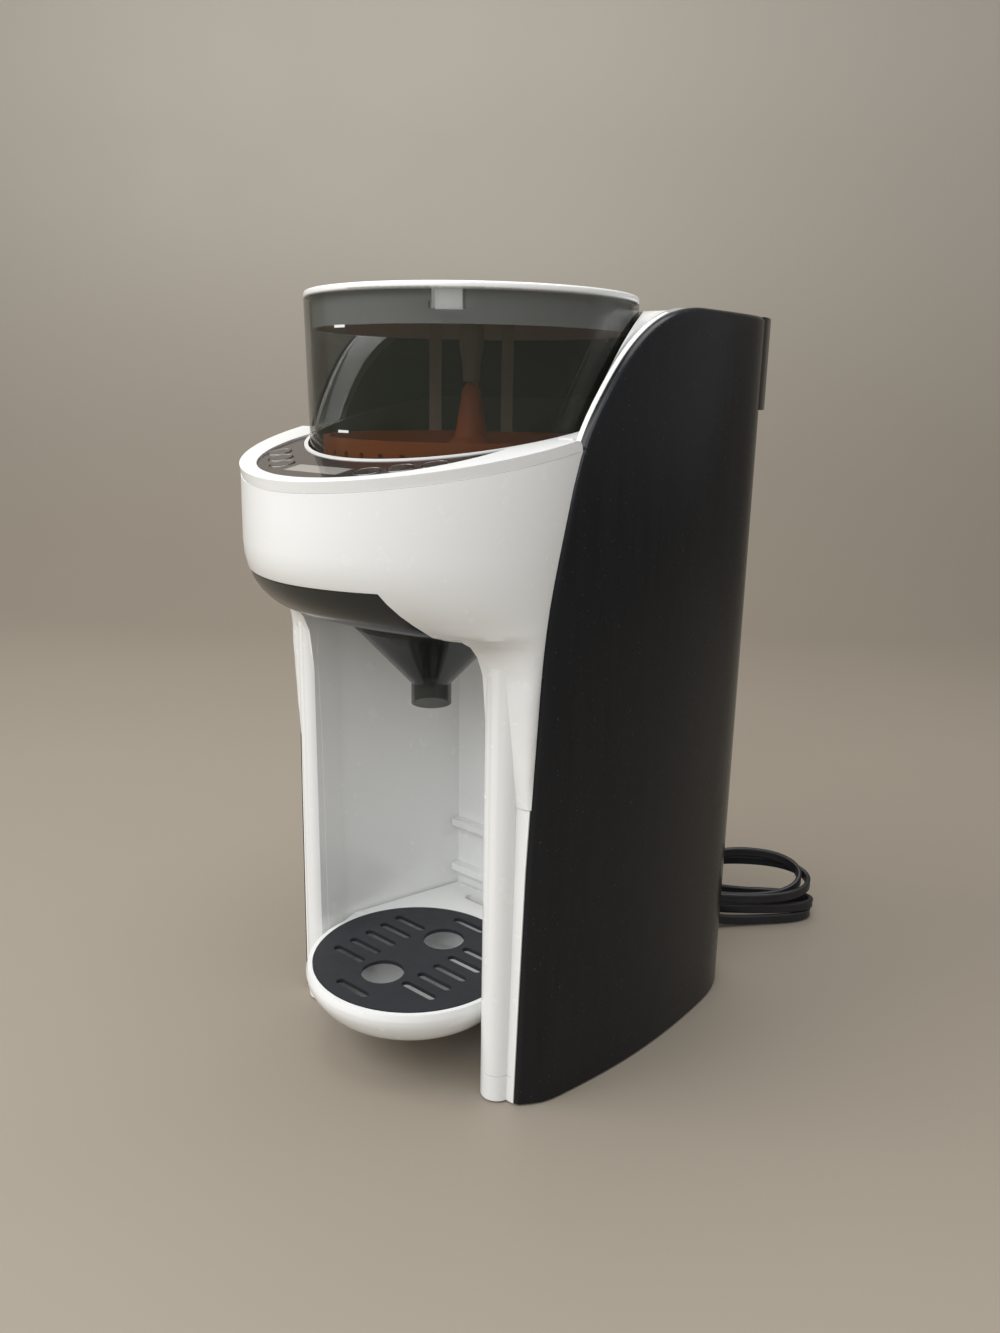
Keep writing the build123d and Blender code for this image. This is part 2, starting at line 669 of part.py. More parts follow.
POCKETS = 20
POCKET_INNER = 47.0
POCKET_OUTER = 62.0
POCKET_WIDTH = 9.0
NOTCHES = 40
NOTCH_WIDTH = 2.6
NOTCH_TOP = 301.0
with BuildPart() as powder_wheel:
    with BuildSketch(AXIS):
        with BuildLine():
            Polyline((0, WHEEL_BOTTOM), (WHEEL_R, WHEEL_BOTTOM), (WHEEL_R, WHEEL_TOP),
                     (WHEEL_R - 3, WHEEL_TOP), (POCKET_OUTER + 2, WHEEL_BOTTOM + 8),
                     (POCKET_INNER - 3, WHEEL_BOTTOM + 8), (13, WHEEL_TOP - 5), (7.8, WHEEL_TOP),
                     (4.4, CONE_TOP - 3.5), (2.6, CONE_TOP - 0.8), (0, CONE_TOP), close=True)
        make_face()
    revolve(axis=Axis((0, HOPPER_Y, 0), (0, 0, 1)))
    with BuildSketch(Plane.XY.offset(WHEEL_BOTTOM - 1)):
        with Locations((0, HOPPER_Y)):
            with PolarLocations((POCKET_INNER + POCKET_OUTER) / 2, POCKETS):
                SlotOverall(POCKET_OUTER - POCKET_INNER, POCKET_WIDTH)
    extrude(amount=30, mode=Mode.SUBTRACT)
    with BuildSketch(Plane.XY.offset(WHEEL_BOTTOM + 2)):
        with Locations((0, HOPPER_Y)):
            with PolarLocations(WHEEL_R, NOTCHES):
                Rectangle(5, NOTCH_WIDTH)
    extrude(amount=NOTCH_TOP - WHEEL_BOTTOM - 2, mode=Mode.SUBTRACT)
    with BuildSketch(Plane.XY.offset(HOPPER_BOTTOM + 1.4)):
        with Locations((0, HOPPER_Y)):
            Circle(HUB_R)
    extrude(amount=8)
    with BuildSketch(Plane.XY.offset(HOPPER_BOTTOM)):
        with Locations((0, HOPPER_Y)):
            RegularPolygon(KEY_FLATS / 2 + 0.35, 6, major_radius=False)
    extrude(amount=9, mode=Mode.SUBTRACT)
save(powder_wheel, "powder_wheel")

with BuildPart() as hopper_lid:
    with BuildSketch(Plane.XY.offset(LID_TOP - LID_THICK)):
        with Locations((0, HOPPER_Y)):
            Circle(LID_R)
    extrude(amount=LID_THICK)
    fillet(hopper_lid.edges(), 1.1)
    with BuildSketch(Plane.XY.offset(SKIRT_BOTTOM)):
        with Locations((0, HOPPER_Y)):
            Circle(SKIRT_R)
            Circle(SKIRT_R - 2.0, mode=Mode.SUBTRACT)
    extrude(amount=LID_TOP - LID_THICK - SKIRT_BOTTOM + 0.5)
save(hopper_lid, "hopper_lid")

with BuildPart() as lid_latch:
    with BuildSketch(Plane.XY.offset(LATCH[2])):
        with Locations((0, HOPPER_Y)):
            Circle(HOPPER_R_TOP - 0.3)
            Circle(HOPPER_R_TOP - 0.3 - LATCH_DEPTH, mode=Mode.SUBTRACT)
        with Locations(((LATCH[0] + LATCH[1]) / 2, -80)):
            Rectangle(LATCH[1] - LATCH[0], 40, mode=Mode.INTERSECT)
    extrude(amount=LID_TOP - LID_THICK - LATCH[2])
save(lid_latch, "lid_latch")

STEM_TOP_R = 5.75
STEM_LOW_R = 4.0
FINGER_WIDTH = 5.7
FINGER_THICK = 2.0
with BuildPart() as lid_scraper:
    with BuildSketch(AXIS):
        with BuildLine():
            Polyline((0, STEM_BOTTOM), (STEM_LOW_R, STEM_BOTTOM), (STEM_LOW_R + 0.4, STEM_BOTTOM + 8),
                     (STEM_TOP_R, STEM_BOTTOM + 16), (STEM_TOP_R, LID_TOP - LID_THICK),
                     (0, LID_TOP - LID_THICK),
                     close=True)
        make_face()
    revolve(axis=Axis((0, HOPPER_Y, 0), (0, 0, 1)))
    with BuildSketch(Plane.XY.offset(LID_TOP - LID_THICK)):
        with Locations((0, HOPPER_Y)):
            Circle(FINGER_R + 4)
    extrude(amount=-2.0)
    with BuildSketch(Plane.XY.offset(FINGER_BOTTOM)):
        for turn in (0, 90, 180):
            angle = radians(VIEW_TURN + turn)
            with Locations(Location((FINGER_R * cos(angle), HOPPER_Y + FINGER_R * sin(angle)), VIEW_TURN)):
                Rectangle(FINGER_WIDTH, FINGER_THICK)
    extrude(amount=LID_TOP - LID_THICK - FINGER_BOTTOM - 1)
save(lid_scraper, "lid_scraper")

# ================================================================ wheel drive
GEAR_R = MODULE * GEAR_TEETH / 2
PINION_R = MODULE * PINION_TEETH / 2
MOTOR_Y = HOPPER_Y + GEAR_R + PINION_R + 0.1


def gear_outline(teeth, first_turn, middle_y):
    """Straight-flanked teeth about (0, middle_y), thinned for backlash; first_turn points at one tooth."""
    pitch_turn = 360 / teeth
    root = MODULE * teeth / 2 - 1.2 * MODULE
    tip = MODULE * teeth / 2 + 0.85 * MODULE
    points = []
    for tooth in range(teeth):
        middle = first_turn + tooth * pitch_turn
        for radius, share in ((root, -0.29), (tip, -0.11), (tip, 0.11), (root, 0.29)):
            angle = radians(middle + share * pitch_turn)
            points.append((radius * cos(angle), middle_y + radius * sin(angle)))
    return points


JOURNAL_R = 4.0
with BuildPart() as drive_gear:
    with BuildSketch(Plane.XY.offset(GEAR_Z)):
        with BuildLine():
            Polyline(*gear_outline(GEAR_TEETH, 90, HOPPER_Y), close=True)
        make_face()
    extrude(amount=GEAR_THICK)
    with BuildSketch(Plane.XY.offset(DECK_Z)):
        with Locations((0, HOPPER_Y)):
            Circle(JOURNAL_R)
    extrude(amount=GEAR_Z - DECK_Z + 1)
    with BuildSketch(Plane.XY.offset(GEAR_Z + GEAR_THICK - 1)):
        with Locations((0, HOPPER_Y)):
            Circle(6.5)
    extrude(amount=SEAT_Z - SEAT_THICK - 1 - GEAR_Z - GEAR_THICK)
    with BuildSketch(Plane.XY.offset(GEAR_Z + GEAR_THICK - 1)):
        with Locations((0, HOPPER_Y)):
            RegularPolygon(KEY_FLATS / 2, 6, major_radius=False)
    extrude(amount=HOPPER_BOTTOM + 7.5 - GEAR_Z - GEAR_THICK + 1)

SHAFT_R = 2.0
with BuildPart() as motor_pinion:
    with BuildSketch(Plane.XY.offset(GEAR_Z)):
        with BuildLine():
            Polyline(*gear_outline(PINION_TEETH, 90 + 180 / PINION_TEETH, MOTOR_Y), close=True)
        make_face()
    extrude(amount=GEAR_THICK)
    with BuildSketch(Plane.XY.offset(DECK_Z - 6)):
        with Locations((0, MOTOR_Y)):
            Circle(SHAFT_R)
    extrude(amount=GEAR_Z - DECK_Z + 7)

DECK_FRONT = -27.5
DECK_BACK = 34.0
with BuildPart() as gear_deck:
    with BuildSketch(Plane.XY.offset(DECK_Z)):
        with Locations((0, (DECK_FRONT + DECK_BACK) / 2)):
            RectangleRounded(64, DECK_BACK - DECK_FRONT, 5)
        with Locations((0, HOPPER_Y)):
            Circle(JOURNAL_R + BEARING_GAP, mode=Mode.SUBTRACT)
        with Locations((0, MOTOR_Y)):
            Circle(SHAFT_R + GAP, mode=Mode.SUBTRACT)
    extrude(amount=DECK_THICK)
    for post_x in (-26, 26):
        for post_y in (DECK_FRONT + 6, DECK_BACK - 6):
            with BuildSketch(Plane.XY.offset(DECK_Z)):
                with Locations((post_x, post_y)):
                    Circle(3.5)
            extrude(amount=SEAT_Z - SEAT_THICK - DECK_Z)
save(drive_gear, "drive_gear")
save(motor_pinion, "motor_pinion")

with BuildPart() as gear_motor:
    with BuildSketch(Plane.XY.offset(DECK_Z - MOTOR_HEIGHT)):
        with Locations((0, MOTOR_Y)):
            Circle(MOTOR_R)
    extrude(amount=MOTOR_HEIGHT)
    with BuildSketch(Plane.XY.offset(DECK_Z)):
        with Locations((0, MOTOR_Y)):
            Circle(SHAFT_R + GAP)
    extrude(amount=-7, mode=Mode.SUBTRACT)
save(gear_motor, "gear_motor")
save(gear_deck, "gear_deck")

# ================================================================ powder chute, funnel drawer and water spout
CHUTE_R = 10.2
CHUTE_LOW_R = 7.4
CHUTE_BOTTOM = UNDER_Z + COVER_THICK + 1.0
with BuildPart() as powder_chute:
    with BuildSketch(Plane(origin=(0, OUTLET_Y, 0), x_dir=(1, 0, 0), z_dir=(0, -1, 0))):
        with BuildLine():
            top = SEAT_Z - SEAT_THICK
            Polyline((CHUTE_R, top), (CHUTE_R - 1.4, top), (CHUTE_R - 1.4, 262), (CHUTE_LOW_R - 1.4, 250),
                     (CHUTE_LOW_R - 1.4, CHUTE_BOTTOM), (CHUTE_LOW_R, CHUTE_BOTTOM), (CHUTE_LOW_R, 250.5),
                     (CHUTE_R, 262.5), close=True)
        make_face()
    revolve(axis=Axis((0, OUTLET_Y, 0), (0, 0, 1)))
save(powder_chute, "powder_chute")

FUNNEL_AXIS = Plane(origin=(0, OUTLET_Y, 0), x_dir=(1, 0, 0), z_dir=(0, -1, 0))
COVER_BACK = -2.4
with BuildPart() as cover_floor:
    add(front_solid.part)
    with Locations((0, -77, UNDER_Z + COVER_THICK / 2)):
        Box(2 * VISOR_HALF_LOW, 48, COVER_THICK, mode=Mode.INTERSECT)

with BuildPart() as funnel_cover:
    add(front_solid.part)
    add(shell_void.part, mode=Mode.SUBTRACT)
    with BuildSketch(Plane.XZ.offset(55.6)):
        with BuildLine():
            Polyline(*slot_outline(UNDER_Z, 0), close=True)
        make_face()
    extrude(amount=90, mode=Mode.INTERSECT)
    add(cover_floor.part)
    with BuildSketch(Plane.XY.offset(UNDER_Z)):
        with Locations((0, (COVER_BACK - 62) / 2)):
            Rectangle(2 * VISOR_HALF_LOW, COVER_BACK + 62)
    extrude(amount=COVER_THICK)
    with BuildSketch(Plane.XY.offset(UNDER_Z - 2)):
        with Locations((0, OUTLET_Y)):
            Circle(FUNNEL_RIM_R - 6)
    extrude(amount=12, mode=Mode.SUBTRACT)

with BuildPart() as mixing_funnel:
    with BuildSketch(FUNNEL_AXIS):
        with BuildLine():
            t = FUNNEL_WALL
            Polyline((FUNNEL_RIM_R, UNDER_Z), (FUNNEL_RIM_R, FUNNEL_RIM_Z),
                     (NOZZLE_R + 0.6, NOZZLE_TOP + 0.6),
                     (NOZZLE_R, NOZZLE_TOP), (NOZZLE_R, NOZZLE_BOTTOM), (NOZZLE_R - t, NOZZLE_BOTTOM),
                     (NOZZLE_R - t, NOZZLE_TOP + 0.8), (FUNNEL_RIM_R - t, FUNNEL_RIM_Z + 0.8),
                     (FUNNEL_RIM_R - t, UNDER_Z), close=True)
        make_face()
    revolve(axis=Axis((0, OUTLET_Y, 0), (0, 0, 1)))
save(mixing_funnel, "mixing_funnel")

with BuildPart() as funnel_spout:
    with BuildSketch(FUNNEL_AXIS):
        with BuildLine():
            Polyline((8.6, UNDER_Z - 4), (3.4, 192), (2.2, 192), (7.4, UNDER_Z - 4), close=True)
        make_face()
    revolve(axis=Axis((0, OUTLET_Y, 0), (0, 0, 1)))
    with BuildSketch(Plane.XY.offset(UNDER_Z - 4)):
        with Locations((0, OUTLET_Y)):
            Circle(8.6)
            Circle(7.4, mode=Mode.SUBTRACT)
    extrude(amount=COVER_THICK + 4)
    with BuildSketch(Plane.XY.offset(UNDER_Z)):
        with Locations((0, OUTLET_Y)):
            for turn in (0, 60, 120):
                with Locations(Location((0, 0), turn)):
                    Rectangle(2 * FUNNEL_RIM_R - 12.2, 2.0)
            Circle(8.0, mode=Mode.SUBTRACT)
    extrude(amount=COVER_THICK)
save(funnel_spout, "funnel_spout")
save(funnel_cover, "funnel_cover")

SPOUT_Y = -22.0
SPOUT_BARB = 9.0
HOSE_R = 3.0
HOSE_BORE = 1.8
SPOUT_LONG = 14.0
BARB_Z = CHUTE_BOTTOM + 10.6
with BuildPart() as water_spout:
    with BuildSketch(Plane.XY.offset(CHUTE_BOTTOM)):
        with Locations((0, SPOUT_Y)):
            Circle(HOSE_R)
    extrude(amount=SPOUT_LONG)
    with BuildSketch(Plane.YZ):
        with Locations((SPOUT_Y, BARB_Z)):
            Circle(HOSE_R)
    extrude(amount=SPOUT_BARB)
    with BuildSketch(Plane.XY.offset(CHUTE_BOTTOM)):
        with Locations((0, SPOUT_Y)):
            Circle(HOSE_BORE)
    extrude(amount=SPOUT_LONG - 2, mode=Mode.SUBTRACT)
    with BuildSketch(Plane.YZ):
        with Locations((SPOUT_Y, BARB_Z)):
            Circle(HOSE_BORE)
    extrude(amount=SPOUT_BARB, mode=Mode.SUBTRACT)
    with BuildSketch(Plane.XY.offset(CHUTE_BOTTOM + SPOUT_LONG - 3)):
        with Locations((0, SPOUT_Y - HOSE_R - 1)):
            Rectangle(12, 1.5)
    extrude(amount=DECK_Z - CHUTE_BOTTOM - SPOUT_LONG + 3)
    with BuildSketch(Plane.XY.offset(CHUTE_BOTTOM + SPOUT_LONG - 3)):
        with Locations((0, SPOUT_Y - HOSE_R)):
            Rectangle(6, 3)
    extrude(amount=3)
save(water_spout, "water_spout")

# ================================================================ drip tray and mat
TRAY_GAP = 1.0
TRAY_PLATE = 6.0
TRAY_BACK = BAY_BACK_Y - 1.2
MAT_RECESS = 2.4
with BuildPart() as drip_tray:
    with BuildSketch(Plane(origin=(0, TRAY_Y, 0), x_dir=(1, 0, 0), z_dir=(0, -1, 0))):
        with BuildLine():
            Line((0, TRAY_BOTTOM), (36, TRAY_BOTTOM))
            Spline((36, TRAY_BOTTOM), (48, TRAY_BOTTOM + 4.5), (54, TRAY_BOTTOM + 13), (TRAY_R, TRAY_TOP - 3),
                   tangents=((1, 0), (0, 1)))
            Polyline((TRAY_R, TRAY_TOP - 3), (TRAY_R - 1, TRAY_TOP), (0, TRAY_TOP), (0, TRAY_BOTTOM))
        make_face()
    revolve(axis=Axis((0, TRAY_Y, 0), (0, 0, 1)))
    with BuildSketch(Plane.XY.offset(TRAY_TOP - TRAY_PLATE)):
        with BuildLine():
            Polyline((-BAY_FRONT_HALF + TRAY_GAP, BAY_STRAIGHT_Y), (-54, TRAY_Y), (54, TRAY_Y),
                     (BAY_FRONT_HALF - TRAY_GAP, BAY_STRAIGHT_Y), (BAY_BACK_HALF - TRAY_GAP, TRAY_BACK),
                     (-BAY_BACK_HALF + TRAY_GAP, TRAY_BACK), close=True)
        make_face()
    extrude(amount=TRAY_PLATE)
    with BuildSketch(Plane.XY.offset(TRAY_TOP)):
        with Locations((0, TRAY_Y)):
            Circle(MAT_R + GAP)
    extrude(amount=-MAT_RECESS + 0.4, mode=Mode.SUBTRACT)
    with BuildSketch(Plane.XY.offset(TRAY_TOP)):
        with Locations((0, TRAY_Y)):
            Circle(MAT_R - 3)
    extrude(amount=TRAY_BOTTOM + 3 - TRAY_TOP, taper=8, mode=Mode.SUBTRACT)
    with BuildSketch(Plane.XY.offset(TRAY_TOP)):
        with Locations((0, 15)):
            SlotOverall(50, 6)
    extrude(amount=-20, mode=Mode.SUBTRACT)
    with Locations((0, TRAY_BACK - 2.8, (RIB_LEVELS[0] + RIB_HEIGHT + GAP + TRAY_TOP - TRAY_PLATE) / 2 + 0.2)):
        Box(24, 5.6, TRAY_TOP - TRAY_PLATE - RIB_LEVELS[0] - RIB_HEIGHT - GAP + 0.4)
save(drip_tray, "drip_tray")

with BuildPart() as tray_mat:
    with BuildSketch(Plane.XY.offset(MAT_TOP - MAT_THICK)):
        with Locations((0, TRAY_Y)):
            Circle(MAT_R)
            with Locations((0, HOLE_SPREAD), (0, -HOLE_SPREAD)):
                Circle(HOLE_R, mode=Mode.SUBTRACT)
            with Locations((0, END_SLOT_SPREAD), (0, -END_SLOT_SPREAD)):
                SlotOverall(SLOT_LENGTH, SLOT_WIDTH, mode=Mode.SUBTRACT)
            with GridLocations(2 * SLOT_X, SLOT_PITCH, 2, 5):
                SlotOverall(SLOT_LENGTH, SLOT_WIDTH, mode=Mode.SUBTRACT)
    extrude(amount=MAT_THICK)
save(tray_mat, "tray_mat")

# ================================================================ water tank, its lid and filling flap
TANK_Y = (TANK_FRONT + TANK_BACK) / 2
TANK_DEPTH = TANK_BACK - TANK_FRONT
VALVE_R = 8.0
VALVE_Y = 92.0
VALVE_DROP = 7.0
with BuildPart() as water_tank:
    with BuildSketch(Plane.XY.offset(TANK_BOTTOM + GAP)):
        with Locations((0, TANK_Y)):
            RectangleRounded(2 * TANK_HALF, TANK_DEPTH, TANK_ROUND)
    extrude(amount=TANK_TOP - TANK_BOTTOM - GAP)
    with BuildSketch(Plane.XY.offset(TANK_BOTTOM + GAP + TANK_WALL)):
        with Locations((0, TANK_Y)):
            RectangleRounded(2 * (TANK_HALF - TANK_WALL), TANK_DEPTH - 2 * TANK_WALL, TANK_ROUND - TANK_WALL)
    extrude(amount=TANK_TOP, mode=Mode.SUBTRACT)
    with BuildSketch(Plane.XY.offset(TANK_BOTTOM)):
        with Locations((0, VALVE_Y)):
            Circle(VALVE_R - 2.5)
    extrude(amount=10, mode=Mode.SUBTRACT)
save(water_tank, "water_tank")

with BuildPart() as tank_valve:
    with BuildSketch(Plane.XY.offset(TANK_BOTTOM + GAP - VALVE_DROP)):
        with Locations((0, VALVE_Y)):
            Circle(VALVE_R)
    extrude(amount=VALVE_DROP)
    with BuildSketch(Plane.XY.offset(TANK_BOTTOM + GAP)):
        with Locations((0, VALVE_Y)):
            Circle(VALVE_R - 2.6)
    extrude(amount=6)
save(tank_valve, "tank_valve")

LID_FRONT = COWL_BACK + GAP
LID_SIDE = SHELL_OUT + SHELL_WALL + 0.6
LID_WALL = 2.6
LID_REAR = [(92.0, 98.4), (91.4, 103.0), (88.0, 113.0), (84.0, 120.4), (77.0, 125.4), (66.0, 127.7),
            (50.0, BACK_REACH)]


def lid_outline(inset):
    """Right half of the tank lid's plan outline, from its front to the middle of its back."""
    front = LID_FRONT + inset
    points = [(panel_x(y) - LID_SIDE - inset, y) for y in (front, 82.0, 90.0, 98.0 - inset)]
    rear = [(x - inset, y) for x, y in LID_REAR[:2]]
    rear += [(x - 0.8 * inset, y - 0.6 * inset) for x, y in LID_REAR[2:4]]
    rear += [(x, y - inset) for x, y in LID_REAR[4:]]
    rear[0] = (rear[0][0], 98.4 + inset)
    return points, rear


def lid_face(inset):
    """Closed plan outline of the tank lid moved in by inset."""
    side, rear = lid_outline(inset)
    with BuildLine() as outline:
        flank = Spline(*side)
        Line(flank @ 1, rear[0])
        curve = Spline(*rear)
        Line(curve @ 1, (0, rear[-1][1]))
        Line(flank @ 0, (0, side[0][1]))
        mirror(about=Plane.YZ)
    return outline


FLAP_HALF = 46.0
FLAP_FRONT = 82.0
FLAP_AXIS_Y = 112.0
FLAP_THICK = 3.0
FLAP_Z = PANEL_TOP - FLAP_THICK / 2
PIN_R = 1.0
PIN_LONG = 4.0
LID_FLOOR = 2.4
with BuildPart() as tank_lid:
    with BuildSketch(Plane.XY.offset(TANK_TOP)):
        add(lid_face(0).line)
        make_face()
    extrude(amount=PANEL_TOP - TANK_TOP)
    with BuildSketch(Plane.XY.offset(TANK_TOP + LID_FLOOR)):
        add(lid_face(LID_WALL).line)
        make_face()
    extrude(amount=PANEL_TOP - TANK_TOP - LID_FLOOR - 5, mode=Mode.SUBTRACT)
    with BuildSketch(Plane.XY.offset(TANK_TOP - 6)):
        with Locations((0, TANK_Y)):
            RectangleRounded(2 * (TANK_HALF - TANK_WALL - 0.15), TANK_DEPTH - 2 * TANK_WALL - 0.3,
                             TANK_ROUND - TANK_WALL)
            RectangleRounded(2 * (TANK_HALF - TANK_WALL - 2), TANK_DEPTH - 2 * TANK_WALL - 4,
                             TANK_ROUND - TANK_WALL - 1.5,
                             mode=Mode.SUBTRACT)
    extrude(amount=6.5)
    with BuildSketch(Plane.XY.offset(TANK_TOP - 1)):
        with Locations((0, TANK_Y)):
            RectangleRounded(2 * (TANK_HALF - TANK_WALL - 4), TANK_DEPTH - 2 * TANK_WALL - 8, 8)
    extrude(amount=5, mode=Mode.SUBTRACT)
    with Locations((0, (FLAP_FRONT + FLAP_AXIS_Y) / 2, FLAP_Z)):
        Box(2 * FLAP_HALF + 2 * GAP, FLAP_AXIS_Y - FLAP_FRONT + FLAP_THICK + 2 * GAP, FLAP_THICK + 20,
            mode=Mode.SUBTRACT)
    with BuildSketch(Plane.YZ.offset(-FLAP_HALF - PIN_LONG - 1)):
        with Locations((FLAP_AXIS_Y, FLAP_Z)):
            Circle(PIN_R + BEARING_GAP)
    extrude(amount=2 * FLAP_HALF + 2 * PIN_LONG + 2, mode=Mode.SUBTRACT)

with BuildPart() as fill_flap:
    with BuildSketch(Plane.YZ.offset(-FLAP_HALF)):
        with Locations(((FLAP_FRONT + FLAP_AXIS_Y) / 2, FLAP_Z)):
            Rectangle(FLAP_AXIS_Y - FLAP_FRONT, FLAP_THICK)
        with Locations((FLAP_AXIS_Y, FLAP_Z)):
            Circle(FLAP_THICK / 2)
    extrude(amount=2 * FLAP_HALF)
    with BuildSketch(Plane.YZ.offset(-FLAP_HALF - PIN_LONG)):
        with Locations((FLAP_AXIS_Y, FLAP_Z)):
            Circle(PIN_R)
    extrude(amount=2 * FLAP_HALF + 2 * PIN_LONG)
    with BuildSketch(Plane.XY.offset(PANEL_TOP - 1.2)):
        with Locations((0, FLAP_FRONT + 6)):
            SlotOverall(30, 7)
    extrude(amount=3, mode=Mode.SUBTRACT)
save(fill_flap, "fill_flap")
save(tank_lid, "tank_lid")

# ================================================================ base plate, dock and the works behind the bay
BASE_Z = 3.0
BASE_THICK = 3.0
BASE_FRONT = 29.0
BASE_BACK = 118.0
SCREW_SPOTS = [(-52.0, 86.0), (52.0, 86.0)]
SCREW_R = 1.5
BASE_OUTLINE = [(88.0, 33.0), (87.0, 60.0), (84.0, 95.0), (76.0, 107.0), (64.0, 115.0), (48.0, BASE_BACK)]
with BuildPart() as base_plate:
    with BuildSketch(Plane.XY.offset(BASE_Z)):
        with BuildLine():
            Polyline((0, BASE_FRONT), (70, BASE_FRONT), *BASE_OUTLINE, (0, BASE_BACK))
            mirror(about=Plane.YZ)
        make_face()
        for spot in SCREW_SPOTS:
            with Locations(spot):
                Circle(SCREW_R + 0.3, mode=Mode.SUBTRACT)
    extrude(amount=BASE_THICK)
save(base_plate, "base_plate")

for index, spot in enumerate(SCREW_SPOTS, 1):
    with BuildPart() as screw:
        with BuildSketch(Plane.XY.offset(BASE_Z - 1.6)):
            with Locations(spot):
                Circle(2 * SCREW_R)
                RegularPolygon(1.0, 6, mode=Mode.SUBTRACT)
        extrude(amount=1.6)
        with BuildSketch(Plane.XY.offset(BASE_Z - 0.6)):
            with Locations(spot):
                Circle(SCREW_R)
        extrude(amount=10)
    save(screw, f"base_screw_{index}")

DOCK_THICK = 3.0
DOCK_HALF = 57.0
with BuildPart() as tank_dock:
    with BuildSketch(Plane.XY.offset(TANK_BOTTOM - DOCK_THICK)):
        with Locations((0, TANK_Y - 1.6)):
            RectangleRounded(2 * DOCK_HALF, TANK_DEPTH - 6, 6)
        with Locations((0, VALVE_Y)):
            Circle(VALVE_R + GAP, mode=Mode.SUBTRACT)
    extrude(amount=DOCK_THICK)
    with BuildSketch(Plane.XY.offset(TANK_BOTTOM - 12)):
        with Locations((0, VALVE_Y)):
            Circle(VALVE_R + GAP + 2)
            Circle(VALVE_R + GAP, mode=Mode.SUBTRACT)
    extrude(amount=12)
    with BuildSketch(Plane.XY.offset(TANK_BOTTOM - 14)):
        with Locations((0, VALVE_Y)):
            Circle(VALVE_R + GAP + 2)
            Circle(2.2, mode=Mode.SUBTRACT)
    extrude(amount=2)
    for spot in SCREW_SPOTS:
        with BuildSketch(Plane.XY.offset(BASE_Z + BASE_THICK)):
            with Locations(spot):
                Circle(4)
        extrude(amount=TANK_BOTTOM - DOCK_THICK - BASE_Z - BASE_THICK + 1)
        with BuildSketch(Plane.XY.offset(BASE_Z)):
            with Locations(spot):
                Circle(SCREW_R + 0.1)
        extrude(amount=12, mode=Mode.SUBTRACT)
save(tank_dock, "tank_dock")

PUMP_R = 13.0
PUMP_LENGTH = 46.0
PUMP_SPOT = (-8.0, 92.0, 24.0)
with BuildPart() as water_pump:
    with BuildSketch(Plane.YZ.offset(PUMP_SPOT[0] - PUMP_LENGTH / 2)):
        with Locations((PUMP_SPOT[1], PUMP_SPOT[2])):
            Circle(PUMP_R)
    extrude(amount=PUMP_LENGTH * 0.6)
    with BuildSketch(Plane.YZ.offset(PUMP_SPOT[0] + PUMP_LENGTH * 0.1)):
        with Locations((PUMP_SPOT[1], PUMP_SPOT[2])):
            Circle(PUMP_R + 2)
    extrude(amount=PUMP_LENGTH * 0.4)
    with Locations((PUMP_SPOT[0], PUMP_SPOT[1], (BASE_Z + BASE_THICK + PUMP_SPOT[2]) / 2)):
        Box(20, 18, PUMP_SPOT[2] - BASE_Z - BASE_THICK)
save(water_pump, "water_pump")

HEATER = (64.0, 24.0, 70.0)
HEATER_SPOT = (0.0, 50.0, 140.0)
with BuildPart() as heater_block:
    with Locations((HEATER_SPOT[0], HEATER_SPOT[1] - 0.2, HEATER_SPOT[2])):
        Box(*HEATER)
    fillet(heater_block.edges().filter_by(Axis.Z), 4)
    for foot_z in (HEATER_SPOT[2] - 22, HEATER_SPOT[2] + 22):
        with Locations((0, (BAY_BACK_Y + BAY_WALL + HEATER_SPOT[1] - HEATER[1] / 2) / 2, foot_z)):
            Box(16, HEATER_SPOT[1] - HEATER[1] / 2 - BAY_BACK_Y - BAY_WALL, 8)
save(heater_block, "heater_block")



def hose(points, bend):
    """A soft tube along straight runs joined by arcs."""
    with BuildPart() as tube:
        with BuildLine():
            route = FilletPolyline(*points, radius=bend)
        with BuildSketch(Plane(origin=route @ 0, z_dir=route % 0)):
            Circle(HOSE_R)
            Circle(HOSE_BORE, mode=Mode.SUBTRACT)
        sweep()
    return tube


pump_in = PUMP_SPOT[0] + PUMP_LENGTH / 2
suction_hose = hose([(0, VALVE_Y, TANK_BOTTOM - 14), (0, VALVE_Y, 44), (28, VALVE_Y, 40),
                     (28, VALVE_Y, PUMP_SPOT[2]),
                     (pump_in, VALVE_Y, PUMP_SPOT[2])], 4)
save(suction_hose, "suction_hose")
pressure_hose = hose([(PUMP_SPOT[0] - PUMP_LENGTH / 2, PUMP_SPOT[1], PUMP_SPOT[2]),
                      (-42, PUMP_SPOT[1], PUMP_SPOT[2]),
                      (-42, HEATER_SPOT[1], 50), (-12, HEATER_SPOT[1], 80),
                      (-12, HEATER_SPOT[1], HEATER_SPOT[2] - HEATER[2] / 2)], 8)
save(pressure_hose, "pressure_hose")
outlet_hose = hose([(12, HEATER_SPOT[1], HEATER_SPOT[2] + HEATER[2] / 2), (12, HEATER_SPOT[1], 214),
                    (24, 44, 234), (24, SPOUT_Y, BARB_Z), (SPOUT_BARB, SPOUT_Y, BARB_Z)], 6)
save(outlet_hose, "outlet_hose")

BOARD_THICK = 1.6
BOARD_X = -66.0
with BuildPart() as power_board:
    with Locations((BOARD_X, 44, 150)):
        Box(BOARD_THICK, 70, 120)
    for spot_y, spot_z, deep, tall in ((30, 180, 16, 26), (58, 130, 22, 30), (36, 118, 12, 14)):
        with Locations((BOARD_X + 8 + BOARD_THICK / 2 - 0.1, spot_y, spot_z)):
            Box(16, deep, tall)
save(power_board, "power_board")

